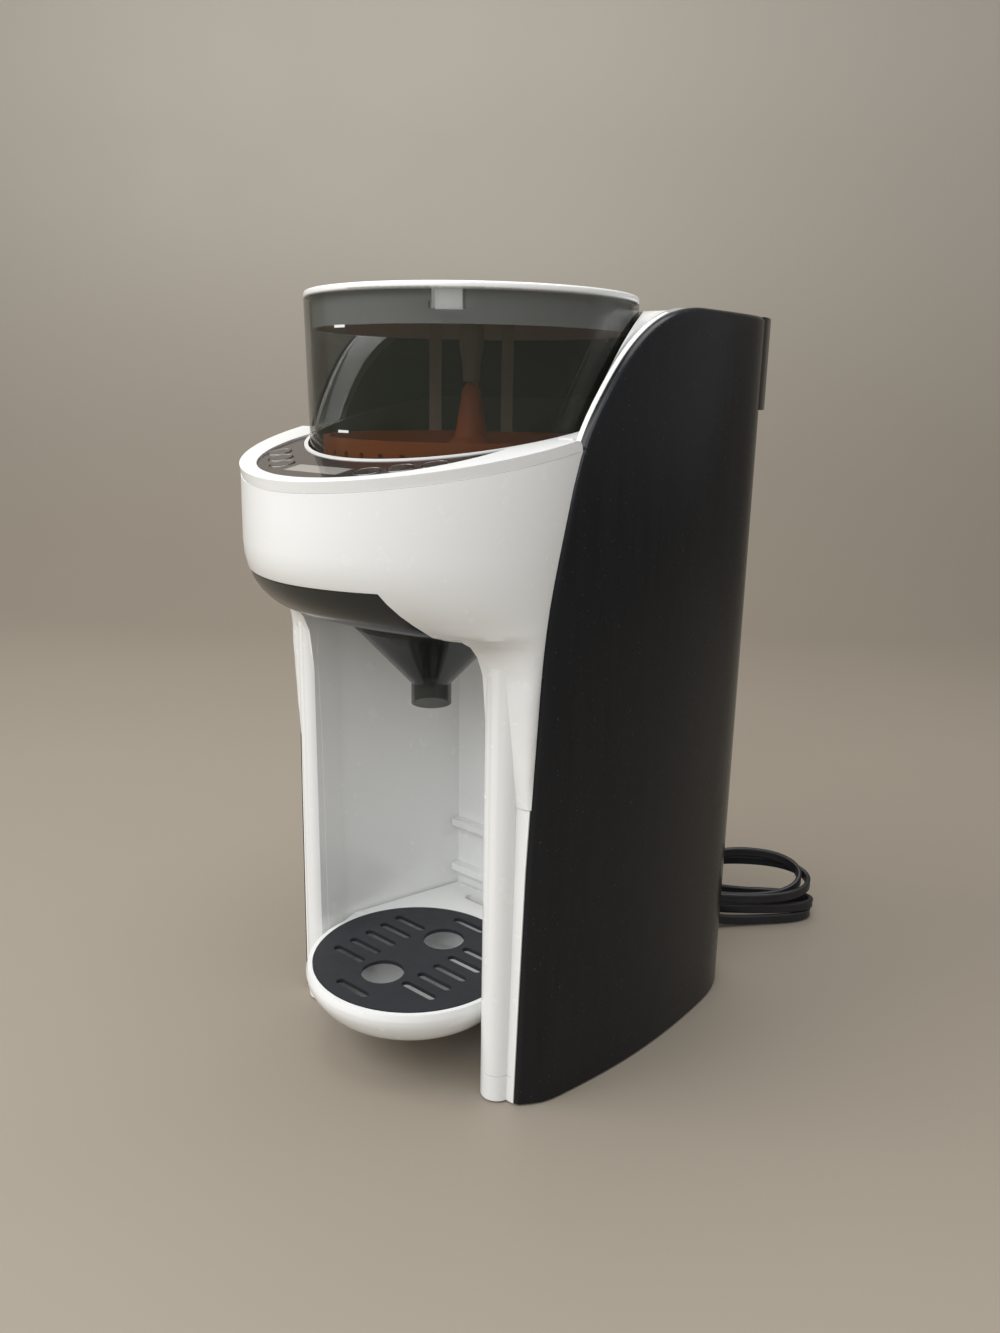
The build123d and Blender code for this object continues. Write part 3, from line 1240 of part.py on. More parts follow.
with BuildPart() as control_board:
    with BuildSketch(SEAM.offset(-9)):
        with Locations((0, on_seam(-103))):
            Rectangle(70, 14)
    extrude(amount=BOARD_THICK)
save(control_board, "control_board")

# ================================================================ mains cord with its gland, coil and plug
GLAND_R = 6.0
GLAND_TIP_R = 3.9
GLAND_BACK = 133.0
CORD_ROUTE = [(GLAND_X, GLAND_BACK, GLAND_Z), (51.0, 143.5, 12.0), (57.5, 153.5, 7.0), (66.0, 163.0, 4.4),
              (76.5, 172.5, 3.8)]
COIL_MIDDLE = (58.1, 187.1)
COIL_TURN = 40.7
COIL_HALF_LONG = 50.0
COIL_HALF_WIDE = 22.0
COIL_LOW = 14.0
COIL_HIGH = 40.0
PLUG_SPOT = (-20.0, 150.0, 8.4)
TAIL_ROUTE = [(22.0, 157.5, 4.2), (9.5, 152.5, 4.2), (-4.0, 150.0, 5.8), PLUG_SPOT]
PLUG_BODY = (34.0, 23.0, 16.0)
BLADE = (17.0, 1.5, 6.3)
BLADE_PITCH = 12.7

with BuildPart() as cord_gland:
    with BuildSketch(Plane.XZ.offset(-117)):
        with Locations((GLAND_X, GLAND_Z)):
            Circle(GLAND_R + 2)
    extrude(amount=-2.4)
    with BuildSketch(Plane.XZ.offset(-119)):
        with Locations((GLAND_X, GLAND_Z)):
            Circle(GLAND_R)
    extrude(amount=-6)
    with BuildSketch(Plane.XZ.offset(-124.8)):
        with Locations((GLAND_X, GLAND_Z)):
            Circle(GLAND_R)
    with BuildSketch(Plane.XZ.offset(-GLAND_BACK)):
        with Locations((GLAND_X, GLAND_Z)):
            Circle(GLAND_TIP_R)
    loft()


def cord_run(points):
    """A cord along straight runs joined by arcs as large as the runs allow."""
    vectors = [Vector(*point) for point in points]
    radii = []
    for before, corner, after in zip(vectors, vectors[1:], vectors[2:]):
        turn = (corner - before).get_angle(after - corner)
        shorter = min((corner - before).length, (after - corner).length)
        radii.append(0.45 * shorter / tan(radians(turn / 2)))
    print("cord radii", [round(radius, 1) for radius in radii])
    with BuildPart() as tube:
        with BuildLine() as line:
            FilletPolyline(*points, radius=radii)
        route = line.wires()[0]
        with BuildSketch(Plane(origin=route @ 0, z_dir=route % 0)):
            Circle(CORD_D / 2)
        sweep(path=route)
    section = pi * CORD_D**2 / 4
    print("cord volume", round(tube.part.volume), "section times length", round(section * route.length))
    return tube


with BuildPart() as coil_shape:
    along = (cos(radians(COIL_TURN)), sin(radians(COIL_TURN)), 0)
    frame = Plane(origin=(COIL_MIDDLE[0], COIL_MIDDLE[1], 0), x_dir=along, z_dir=(0, 0, 1))
    with BuildSketch(frame.offset(0.3)):
        Ellipse(COIL_HALF_LONG, COIL_HALF_WIDE)
    with BuildSketch(frame.offset(COIL_LOW)):
        Ellipse(COIL_HALF_LONG, COIL_HALF_WIDE)
    loft()
    with BuildSketch(frame.offset(COIL_LOW)):
        Ellipse(COIL_HALF_LONG - 0.5, COIL_HALF_WIDE - 0.5)
    with BuildSketch(frame.offset(COIL_HIGH)):
        with Locations((-6, 2)):
            Ellipse(COIL_HALF_LONG - 18, COIL_HALF_WIDE - 8)
    loft()

power_cord = cord_run(CORD_ROUTE)
cord_tail = cord_run(TAIL_ROUTE)
with BuildPart() as cord_coil:
    add(coil_shape.part)
    add(power_cord.part, mode=Mode.SUBTRACT)
    add(cord_tail.part, mode=Mode.SUBTRACT)

with BuildPart() as plug_body:
    with Locations((PLUG_SPOT[0] - PLUG_BODY[0] / 2, PLUG_SPOT[1], PLUG_SPOT[2])):
        Box(*PLUG_BODY)
    fillet(plug_body.edges(), 3.4)

with BuildPart() as plug_blades:
    for side in (-1, 1):
        with Locations((PLUG_SPOT[0] - PLUG_BODY[0] - BLADE[0] / 2, PLUG_SPOT[1] + side * BLADE_PITCH / 2,
                        PLUG_SPOT[2])):
            Box(*BLADE)

with BuildPart() as shell_with_hole:
    add(body_shell.part)
    with BuildSketch(Plane.XZ.offset(-110)):
        with Locations((GLAND_X, GLAND_Z)):
            Circle(GLAND_R + FIT)
    extrude(amount=-20, mode=Mode.SUBTRACT)
save(shell_with_hole, "body_shell")
for piece, name in ((cord_gland, "cord_gland"), (power_cord, "power_cord"), (cord_tail, "cord_tail"),
                    (cord_coil, "cord_coil"), (plug_body, "plug_body"), (plug_blades, "plug_blades")):
    save(piece, name)
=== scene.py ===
"""Formula dispenser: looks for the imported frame, laid out as an add-on and run as a script.

Units are metres. The frame has +Z up and the front, where the tray is, towards -Y.
"""

import json
import math

import bmesh
import bpy
from mathutils import Matrix, Vector


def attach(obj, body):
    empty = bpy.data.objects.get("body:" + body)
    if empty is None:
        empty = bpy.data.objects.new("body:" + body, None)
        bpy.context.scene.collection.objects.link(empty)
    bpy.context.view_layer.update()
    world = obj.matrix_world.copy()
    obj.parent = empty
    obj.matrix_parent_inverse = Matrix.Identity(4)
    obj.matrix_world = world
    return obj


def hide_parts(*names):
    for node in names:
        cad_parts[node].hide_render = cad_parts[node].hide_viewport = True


bl_info = {
    "name": "Formula dispenser",
    "version": (1, 0, 0),
    "blender": (4, 5, 0),
    "location": "3D View > Sidebar > Dispenser",
    "description": "Finishes, mains lead, level ticks and studio for the formula dispenser",
    "category": "Object",
}

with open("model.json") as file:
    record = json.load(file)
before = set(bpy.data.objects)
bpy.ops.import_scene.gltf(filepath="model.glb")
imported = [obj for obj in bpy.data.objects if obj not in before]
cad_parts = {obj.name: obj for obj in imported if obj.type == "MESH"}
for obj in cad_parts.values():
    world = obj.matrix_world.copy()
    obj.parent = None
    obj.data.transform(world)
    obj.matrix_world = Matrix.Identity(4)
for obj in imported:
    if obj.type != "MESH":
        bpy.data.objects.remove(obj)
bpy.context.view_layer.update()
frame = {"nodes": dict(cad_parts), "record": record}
BODIES = frame["record"]["behaviour"]["bodies"]
BODY_OF = {node: body for body, nodes in BODIES.items() for node in nodes}

HOPPER_Y = -0.0123
HOPPER_FOOT = 0.287
HOPPER_TALL = 0.0796
HOPPER_RADIUS = 0.0757  # outer radius at the foot
HOPPER_FLARE = 0.0017  # added to it by the top
TICK_LEVELS = (0.3530, 0.3100)
SEAM_Y = -0.04
SEAM_Z = 0.3048  # height of the control surface's seam plane at that depth
SEAM_SLOPE = 0.205
SEAM_TILT = math.atan(SEAM_SLOPE)
COWL_HOLLOW = 0.0797  # radius of the cowl's wall that faces the hopper
LIP_FRONT_Y = -0.0414  # the cowl's lip curve starts here
LIP_FRONT_Z = 0.243
LIP_DEPTH = 0.1
LIP_RISE = 0.1208
LIP_CURVE = ((0.0, 0.0), (0.05, 0.26), (0.15, 0.53), (0.26, 0.69), (0.38, 0.815), (0.54, 0.92),
             (0.76, 0.985), (1.0, 1.0))
CHEEK_INNER = 0.05788
CHEEK_OUTER = 0.05815
BUTTON_SPOTS = ((0.0275, -0.103), (0.0384, -0.0952), (0.0498, -0.087))
VIEW_TURN = math.radians(40.7)  # the camera's turn about Z, and the hank's
CAMERA_SPOT = (0.3483, -0.3929, 0.3287)
CAMERA_DOWN = math.radians(14.8)
CAMERA_ROLL = math.radians(0.98)
STUDIO_MIDDLE = (0, 0, 0.17)
LEAD_EXIT = (0.048, 0.133, 0.016)
TURN_STEPS = 16
SPLINE_SHORTENS = 0.985  # the smooth line is about this share of its control points' run


# ---------------------------------------------------------------- shader writing
class Wire:
    """A number socket that Python's operators turn into Math nodes."""

    def __init__(self, finish, socket):
        self.finish = finish
        self.socket = socket

    def _math(self, operation, first, second):
        node = self.finish.node("ShaderNodeMath", {"operation": operation}, {0: first, 1: second})
        return Wire(self.finish, node.outputs[0])

    def __add__(self, other):
        return self._math("ADD", self, other)

    __radd__ = __add__

    def __sub__(self, other):
        return self._math("SUBTRACT", self, other)

    def __rsub__(self, other):
        return self._math("SUBTRACT", other, self)

    def __mul__(self, other):
        return self._math("MULTIPLY", self, other)

    __rmul__ = __mul__

    def __truediv__(self, other):
        return self._math("DIVIDE", self, other)

    def __pow__(self, other):
        return self._math("POWER", self, other)

    def below(self, other):
        return self._math("LESS_THAN", self, other)


class Finish:
    """One material, its Principled shader and short ways to add the nodes that feed it."""

    def __init__(self, name, roughness=0.4, metallic=0.0, coat=0.0, coat_roughness=0.05, ior=1.46):
        self.material = bpy.data.materials.new(name)
        self.material.use_nodes = True
        self.tree = self.material.node_tree
        self.tree.nodes.clear()
        self.shader = self.tree.nodes.new("ShaderNodeBsdfPrincipled")
        output = self.tree.nodes.new("ShaderNodeOutputMaterial")
        self.tree.links.new(self.shader.outputs["BSDF"], output.inputs["Surface"])
        for socket, value in (("Roughness", roughness), ("Metallic", metallic), ("Coat Weight", coat),
                              ("Coat Roughness", coat_roughness), ("IOR", ior)):
            self.shader.inputs[socket].default_value = value
        self.place = self.node("ShaderNodeTexCoord").outputs["Object"]

    def node(self, kind, settings=None, inputs=None):
        """A node of that kind: its settings first, then the values or links of its sockets."""
        node = self.tree.nodes.new(kind)
        for name, value in (settings or {}).items():
            if name == "curve":
                line = node.mapping.curves[0]
                line.points[0].location = value[0]
                line.points[1].location = value[-1]
                for spot in value[1:-1]:
                    line.points.new(*spot)
                node.mapping.update()
            else:
                setattr(node, name, value)
        for key, value in (inputs or {}).items():
            if isinstance(value, Wire):
                value = value.socket
            if isinstance(value, bpy.types.NodeSocket):
                self.tree.links.new(value, node.inputs[key])
            else:
                node.inputs[key].default_value = value
        return node

    def noise(self, scale, detail=2.0, stretch=(1.0, 1.0, 1.0)):
        """Noise from 0 to 1 in object coordinates; scale is in cycles per metre."""
        spot = self.node("ShaderNodeMapping", None, {"Vector": self.place, "Scale": stretch}).outputs[0]
        node = self.node("ShaderNodeTexNoise", None, {"Vector": spot, "Scale": scale, "Detail": detail})
        return Wire(self, node.outputs["Fac"])

    def axes(self):
        node = self.node("ShaderNodeSeparateXYZ", None, {0: self.place})
        return [Wire(self, socket) for socket in node.outputs]

    def fade(self, value, low, high):
        """0 below low, 1 above high and smooth between them."""
        node = self.node("ShaderNodeMapRange", {"interpolation_type": "SMOOTHSTEP"},
                         {"Value": value, "From Min": low, "From Max": high})
        return Wire(self, node.outputs["Result"])

    def tint(self, amount, first, second):
        """A colour that runs from first to second as amount goes from 0 to 1."""
        start = first if isinstance(first, bpy.types.NodeSocket) else (*first, 1)
        node = self.node("ShaderNodeMix", {"data_type": "RGBA"}, {0: amount, 6: start, 7: (*second, 1)})
        return node.outputs[2]

    def feed(self, socket, value):
        if isinstance(value, Wire):
            value = value.socket
        if isinstance(value, bpy.types.NodeSocket):
            self.tree.links.new(value, self.shader.inputs[socket])
        else:
            self.shader.inputs[socket].default_value = value

    def bump(self, height, depth):
        node = self.node("ShaderNodeBump", None, {"Height": height, "Distance": depth, "Strength": 1.0})
        self.tree.links.new(node.outputs[0], self.shader.inputs["Normal"])


def moulded(name, colour, roughness, coat=0.0, grain=0.00001, spread=0.06, cycles=60.0):
    """Moulded plastic: a faint drift of colour, a finer one of gloss and a slight orange peel."""
    finish = Finish(name, roughness, coat=coat)
    drift = finish.noise(cycles, 3.0)
    finish.feed("Base Color", finish.tint(drift, tuple(part * (1 - spread) for part in colour), colour))
    finish.feed("Roughness", roughness * (0.85 + 0.3 * finish.noise(cycles * 4)))
    finish.bump(finish.noise(900.0, 2.0), grain)
    return finish


def white_shell(colour):
    """White gloss plastic with a very slight drift of colour."""
    return moulded("white shell", colour, 0.26, 0.35, 0.000002, 0.015, 30.0).material


def cowl_white_with_painted_shade(colour):
    """The cowl: white outside and on its lip, with painted shade: the wall that faces the hopper is coloured
    near black to stand for the shadow in the gap round the hopper.
    """
    finish = Finish("cowl white with painted gap shade", 0.26, coat=0.35)
    x, y, z = finish.axes()
    radius = (x * x + (y - HOPPER_Y) * (y - HOPPER_Y)) ** 0.5
    lip = finish.node("ShaderNodeFloatCurve",
                      {"curve": LIP_CURVE}, {"Value": (y - LIP_FRONT_Y) / LIP_DEPTH}).outputs[0]
    edge = Wire(finish, lip) * LIP_RISE + LIP_FRONT_Z
    facing = radius.below(COWL_HOLLOW)
    # painted shade: below the lip, the wall that faces the hopper turns near black for the shadow in the gap
    dark = facing * finish.fade(edge - z, 0.0, 0.0006)
    finish.feed("Base Color", finish.tint(dark, colour, (0.012, 0.012, 0.014)))
    finish.feed("Roughness", 0.24 + 0.05 * finish.noise(120.0))
    finish.bump(finish.noise(900.0), 0.000006)
    return finish.material


def black_panel(colour):
    """Piano black with the faint dust and fine upright wiping marks that gloss black picks up."""
    finish = Finish("gloss black panel", 0.2)
    finish.shader.inputs["Specular IOR Level"].default_value = 0.28
    wipe = finish.noise(30.0, 4.0, (6.0, 6.0, 0.6))
    dust = finish.fade(finish.noise(700.0, 3.0), 0.66, 0.74)
    base = finish.tint(wipe, colour, tuple(part * 1.9 for part in colour))
    finish.feed("Base Color", finish.tint(dust * 0.25, base, (0.12, 0.115, 0.11)))
    finish.feed("Roughness", 0.17 + 0.12 * wipe + 0.1 * dust)
    finish.bump(finish.noise(160.0, 2.0), 0.000008)
    return finish.material


def smoke(name, colour, alpha, edge, roughness=0.05):
    """Tinted clear plastic: what is behind shows dimmed, and more of the tint shows edge on."""
    finish = Finish(name, roughness, ior=1.45)
    facing = Wire(finish, finish.node("ShaderNodeLayerWeight", None, {"Blend": 0.35}).outputs["Facing"])
    finish.feed("Alpha", alpha + (edge - alpha) * facing ** 3.0)
    finish.feed("Base Color", finish.tint(finish.noise(25.0), tuple(c * 0.9 for c in colour), colour))
    finish.feed("Roughness", roughness + 0.03 * finish.noise(300.0))
    finish.bump(finish.noise(70.0, 1.0), 0.00001)
    return finish.material


def control_gloss():
    """Dark brown-grey gloss overlay with a fine sparkle of dust."""
    finish = Finish("control gloss", 0.07, coat=0.2, coat_roughness=0.03)
    dust = finish.fade(finish.noise(900.0, 3.0), 0.68, 0.74)
    base = finish.tint(finish.noise(18.0), (0.026, 0.019, 0.017), (0.034, 0.025, 0.022))
    finish.feed("Base Color", finish.tint(dust * 0.3, base, (0.2, 0.19, 0.18)))
    finish.feed("Roughness", 0.06 + 0.05 * finish.noise(90.0))
    return finish.material


def display_glass():
    """A display that is switched off: pale grey glass with darker ends."""
    finish = Finish("display glass", 0.1, coat=0.8, coat_roughness=0.03)
    x, y, z = finish.axes()
    inner = finish.fade(x * x, 0.016**2, 0.0168**2)
    base = finish.tint(finish.noise(60.0), (0.30, 0.285, 0.265), (0.36, 0.34, 0.32))
    finish.feed("Base Color", finish.tint(inner, base, (0.10, 0.09, 0.085)))
    finish.feed("Roughness", 0.1 + 0.04 * finish.noise(200.0))
    return finish.material


def dosing_orange(colour):
    """Terracotta moulded plastic with faint specks of pale powder."""
    finish = Finish("dosing orange", 0.38, coat=0.1)
    base = finish.tint(finish.noise(35.0, 3.0), tuple(c * 0.85 for c in colour), colour)
    powder = finish.fade(finish.noise(420.0, 5.0), 0.62, 0.78)
    finish.feed("Base Color", finish.tint(powder * 0.16, base, (0.75, 0.68, 0.55)))
    finish.feed("Roughness", 0.34 + 0.2 * powder)
    finish.bump(finish.noise(500.0), 0.00001)
    return finish.material


def mat_rubber(colour):
    """Charcoal silicone: matt, finely stippled, with a little lint."""
    finish = Finish("mat silicone", 0.55)
    lint = finish.fade(finish.noise(1300.0, 4.0), 0.70, 0.76)
    dark, light = tuple(c * 0.8 for c in colour), tuple(c * 1.15 for c in colour)
    base = finish.tint(finish.noise(45.0, 3.0), dark, light)
    finish.feed("Base Color", finish.tint(lint * 0.4, base, (0.25, 0.25, 0.25)))
    finish.feed("Roughness", 0.48 + 0.16 * finish.noise(200.0))
    finish.bump(finish.noise(2600.0, 2.0), 0.00003)
    return finish.material


def lead_rubber():
    """Black cord cover: satin, with faint drawing marks and rubbed patches."""
    finish = Finish("cord cover", 0.34)
    rub = finish.noise(90.0, 3.0)
    finish.feed("Base Color", finish.tint(rub, (0.006, 0.006, 0.008), (0.022, 0.022, 0.026)))
    finish.feed("Roughness", 0.26 + 0.2 * rub)
    finish.bump(finish.noise(1500.0, 2.0), 0.00002)
    return finish.material


def brushed(name, colour, roughness=0.35):
    """Plated or cast metal with short brush marks."""
    finish = Finish(name, roughness, metallic=1.0)
    marks = finish.noise(260.0, 4.0, (1.0, 1.0, 9.0))
    finish.feed("Base Color", finish.tint(marks, tuple(c * 0.75 for c in colour), colour))
    finish.feed("Roughness", roughness * (0.8 + 0.5 * marks))
    finish.bump(marks, 0.00001)
    return finish.material


def board_green():
    """Circuit board: green resist over the paler lines of its tracks."""
    finish = Finish("board resist", 0.35, coat=0.3)
    track = finish.fade(finish.noise(380.0, 1.0), 0.52, 0.56)
    finish.feed("Base Color", finish.tint(track, (0.018, 0.085, 0.035), (0.035, 0.16, 0.07)))
    finish.feed("Roughness", 0.3 + 0.15 * finish.noise(200.0))
    return finish.material


# ---------------------------------------------------------------- mesh helpers
def smooth_copy(node, material, crease=0.5):
    """A finished copy of a CAD piece: joined up, smooth shaded and sharp only at its real edges."""
    source = frame["nodes"][node]
    mesh = source.data.copy()
    mesh.name = node + "_skin"
    work = bmesh.new()
    work.from_mesh(mesh)
    bmesh.ops.remove_doubles(work, verts=work.verts, dist=0.000002)
    for face in work.faces:
        face.smooth = True
    for edge in work.edges:
        edge.smooth = len(edge.link_faces) == 2 and edge.calc_face_angle(0.0) < crease
    work.to_mesh(mesh)
    work.free()
    if mesh.attributes.get("custom_normal"):
        mesh.attributes.remove(mesh.attributes["custom_normal"])
    mesh.materials.clear()
    mesh.materials.append(material)
    piece = bpy.data.objects.new(node + "_skin", mesh)
    bpy.context.scene.collection.objects.link(piece)
    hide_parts(node)
    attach(piece, BODY_OF[node])
    return piece


def soften(piece, width):
    """Rounds a piece's hard edges by that width."""
    bevel = piece.modifiers.new("soft edges", "BEVEL")
    bevel.width, bevel.segments, bevel.limit_method = width, 3, "ANGLE"
    bevel.angle_limit = math.radians(40)
    bevel.harden_normals = True


def mesh_piece(name, mesh, material, body):
    """Links a plain mesh as a piece that rides on that body."""
    mesh.materials.clear()
    mesh.materials.append(material)
    piece = bpy.data.objects.new(name, mesh)
    bpy.context.scene.collection.objects.link(piece)
    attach(piece, body)
    return piece


def bake_nodes(name, mesh, tree, values, material, body):
    """Runs a geometry node tree on a mesh and keeps the result as a plain mesh on that body."""
    source = bpy.data.objects.new(name + "_source", mesh)
    bpy.context.scene.collection.objects.link(source)
    modifier = source.modifiers.new("nodes", "NODES")
    modifier.node_group = tree
    for item in tree.interface.items_tree:
        if item.item_type == "SOCKET" and item.in_out == "INPUT" and item.name in values:
            modifier[item.identifier] = values[item.name]
    bpy.context.view_layer.update()
    evaluated = source.evaluated_get(bpy.context.evaluated_depsgraph_get())
    result = bpy.data.meshes.new_from_object(evaluated)
    result.name = name
    source.modifiers.clear()
    bpy.data.objects.remove(source)
    for polygon in result.polygons:
        polygon.use_smooth = True
    return mesh_piece(name, result, material, body)


def ring_tree(material):
    """Geometry nodes: one thin round ring on every point of the mesh that it is given."""
    tree = bpy.data.node_groups.new("printed rings", "GeometryNodeTree")
    face = tree.interface
    face.new_socket("Geometry", in_out="INPUT", socket_type="NodeSocketGeometry")
    face.new_socket("Ring radius", in_out="INPUT", socket_type="NodeSocketFloat")
    face.new_socket("Line thickness", in_out="INPUT", socket_type="NodeSocketFloat")
    face.new_socket("Tilt", in_out="INPUT", socket_type="NodeSocketFloat")
    face.new_socket("Geometry", in_out="OUTPUT", socket_type="NodeSocketGeometry")
    add, link = tree.nodes.new, tree.links.new
    given, result = add("NodeGroupInput"), add("NodeGroupOutput")
    circle, section = add("GeometryNodeCurvePrimitiveCircle"), add("GeometryNodeCurvePrimitiveCircle")
    circle.inputs["Resolution"].default_value = 64
    section.inputs["Resolution"].default_value = 8
    sweep, spread = add("GeometryNodeCurveToMesh"), add("GeometryNodeInstanceOnPoints")
    turn, finish = add("ShaderNodeCombineXYZ"), add("GeometryNodeSetMaterial")
    solid = add("GeometryNodeRealizeInstances")
    finish.inputs["Material"].default_value = material
    link(given.outputs["Ring radius"], circle.inputs["Radius"])
    link(given.outputs["Line thickness"], section.inputs["Radius"])
    link(circle.outputs[0], sweep.inputs[0])
    link(section.outputs[0], sweep.inputs[1])
    link(given.outputs["Geometry"], spread.inputs["Points"])
    link(sweep.outputs[0], spread.inputs["Instance"])
    link(given.outputs["Tilt"], turn.inputs["X"])
    link(turn.outputs[0], spread.inputs["Rotation"])
    link(spread.outputs[0], solid.inputs[0])
    link(solid.outputs[0], finish.inputs["Geometry"])
    link(finish.outputs[0], result.inputs[0])
    return tree


def points_mesh(name, spots):
    mesh = bpy.data.meshes.new(name)
    mesh.from_pydata([tuple(spot) for spot in spots], [], [])
    return mesh


def cheek_trim(name, side):
    """A thin flush strip that closes the joint between a column and the bay's wall."""
    outline = [(-0.0490, 0.0180), (-0.0490, 0.2175), (-0.0560, 0.2185), (-0.0615, 0.2120), (-0.0625, 0.1980),
               (-0.0610, 0.1500), (-0.0600, 0.0180)]
    mesh = bpy.data.meshes.new(name)
    work = bmesh.new()
    rings = [[work.verts.new((side * x, y, z)) for y, z in outline] for x in (CHEEK_INNER, CHEEK_OUTER)]
    work.faces.new(rings[0])
    work.faces.new(list(reversed(rings[1])))
    for index in range(len(outline)):
        follow = (index + 1) % len(outline)
        work.faces.new((rings[0][index], rings[1][index], rings[1][follow], rings[0][follow]))
    bmesh.ops.recalc_face_normals(work, faces=work.faces)
    work.to_mesh(mesh)
    work.free()
    return mesh


def seam_point(x, y, rise):
    """A point at depth y on the sloped control surface, rise above the seam plane."""
    base = Vector((x, y, SEAM_Z + SEAM_SLOPE * (y - SEAM_Y)))
    return base + rise * Vector((0, -math.sin(SEAM_TILT), math.cos(SEAM_TILT)))


# ---------------------------------------------------------------- settings
def colour_setting(name, description, default):
    return bpy.props.FloatVectorProperty(name=name, description=description, default=default, size=3,
                                         subtype="COLOR", min=0.0, max=1.0)


class DispenserColours(bpy.types.PropertyGroup):
    """Base colours of the dispenser's plastics."""

    white: colour_setting("Shell white", "Housing, cowl, collar, tray and lid", (0.86, 0.865, 0.855))
    black: colour_setting("Panel black", "Side panels and tank lid", (0.0065, 0.0068, 0.008))
    orange: colour_setting("Wheel orange", "Dosing wheel and its cone", (0.84, 0.21, 0.04))
    hopper: colour_setting("Hopper smoke", "Tint of the powder hopper", (0.026, 0.029, 0.019))
    funnel: colour_setting("Funnel smoke", "Tint of the visor, funnel and spout", (0.020, 0.024, 0.022))
    mat: colour_setting("Mat charcoal", "Drip tray's mat", (0.020, 0.021, 0.026))


class DispenserSizes(bpy.types.PropertyGroup):
    """Sizes of what is added to the frame."""

    lead_width: bpy.props.FloatProperty(name="Lead width", description="Width of the flat twin lead",
                                        default=0.0064, unit="LENGTH")
    lead_thick: bpy.props.FloatProperty(name="Lead thickness", description="Thickness of the flat twin lead",
                                        default=0.0034, unit="LENGTH")
    tick_height: bpy.props.FloatProperty(name="Tick height", description="Height of a printed level tick",
                                         default=0.0011, unit="LENGTH")
    ring_radius: bpy.props.FloatProperty(name="Button ring", description="Radius of the ring round a button",
                                         default=0.0058, unit="LENGTH")


# ---------------------------------------------------------------- operators
class DISPENSER_OT_studio(bpy.types.Operator):
    """Camera, seamless pale backdrop and soft lights"""

    bl_idname = "dispenser.studio"
    bl_label = "Studio"

    def execute(self, context):
        scene = context.scene
        data = bpy.data.cameras.new("camera")
        data.lens, data.sensor_width, data.sensor_fit = 28.36, 36.0, "AUTO"
        data.clip_start, data.clip_end = 0.01, 50.0
        camera = bpy.data.objects.new("camera", data)
        scene.collection.objects.link(camera)
        turn = (Matrix.Rotation(VIEW_TURN, 4, "Z") @ Matrix.Rotation(math.pi / 2 - CAMERA_DOWN, 4, "X")
                @ Matrix.Rotation(CAMERA_ROLL, 4, "Z"))
        camera.matrix_world = Matrix.Translation(CAMERA_SPOT) @ turn
        scene.camera = camera
        scene.view_settings.view_transform = "Standard"

        away = Vector((-math.sin(VIEW_TURN), math.cos(VIEW_TURN), 0))
        side = Vector((away.y, -away.x, 0))
        profile = [(-3.0, 0.0), (0.9, 0.0)]
        profile += [(0.9 + 0.8 * math.sin(math.radians(a)), 0.8 - 0.8 * math.cos(math.radians(a)))
                    for a in range(6, 91, 6)]
        profile.append((1.7, 3.5))
        verts, faces = [], []
        for across in (-4.0, 4.0):
            verts += [tuple(away * run + side * across + Vector((0, 0, rise))) for run, rise in profile]
        count = len(profile)
        for index in range(count - 1):
            faces.append((index, index + count, index + count + 1, index + 1))
        mesh = bpy.data.meshes.new("backdrop")
        mesh.from_pydata(verts, [], faces)
        for polygon in mesh.polygons:
            polygon.use_smooth = True
        finish = Finish("backdrop paper", 0.5)
        x, y, z = finish.axes()
        floor = finish.tint(finish.noise(2.2, 3.0), (0.27, 0.235, 0.19), (0.30, 0.262, 0.213))
        # partly painted light: the one sheet runs from the taupe floor tone to a paler beige with height,
        # standing for the wall's gradient of light
        finish.feed("Base Color", finish.tint(finish.fade(z, 0.0, 1.1), floor, (0.50, 0.46, 0.40)))
        finish.feed("Roughness", 0.42 + 0.12 * finish.noise(6.0, 3.0))
        mesh.materials.append(finish.material)
        backdrop = bpy.data.objects.new("backdrop", mesh)
        scene.collection.objects.link(backdrop)

        world = bpy.data.worlds.new("room")
        world.use_nodes = True
        world.node_tree.nodes["Background"].inputs["Color"].default_value = (0.98, 0.99, 1.0, 1)
        world.node_tree.nodes["Background"].inputs["Strength"].default_value = 0.40
        scene.world = world
        for name, spot, size, power, tint in (
                ("key softbox", (-0.75, -1.0, 1.35), 1.1, 19.0, (1.0, 0.99, 0.97)),
                ("top softbox", (0.0, 0.1, 1.6), 1.2, 15.0, (1.0, 0.99, 0.98)),
                ("front softbox", (0.45, -1.35, 1.25), 1.3, 15.0, (0.97, 0.985, 1.0))):
            light = bpy.data.lights.new(name, "AREA")
            light.size, light.energy, light.color = size, power, tint
            lamp = bpy.data.objects.new(name, light)
            scene.collection.objects.link(lamp)
            aim = (Vector(STUDIO_MIDDLE) - Vector(spot)).to_track_quat("-Z", "Y")
            lamp.matrix_world = Matrix.Translation(spot) @ aim.to_matrix().to_4x4()
        return {"FINISHED"}


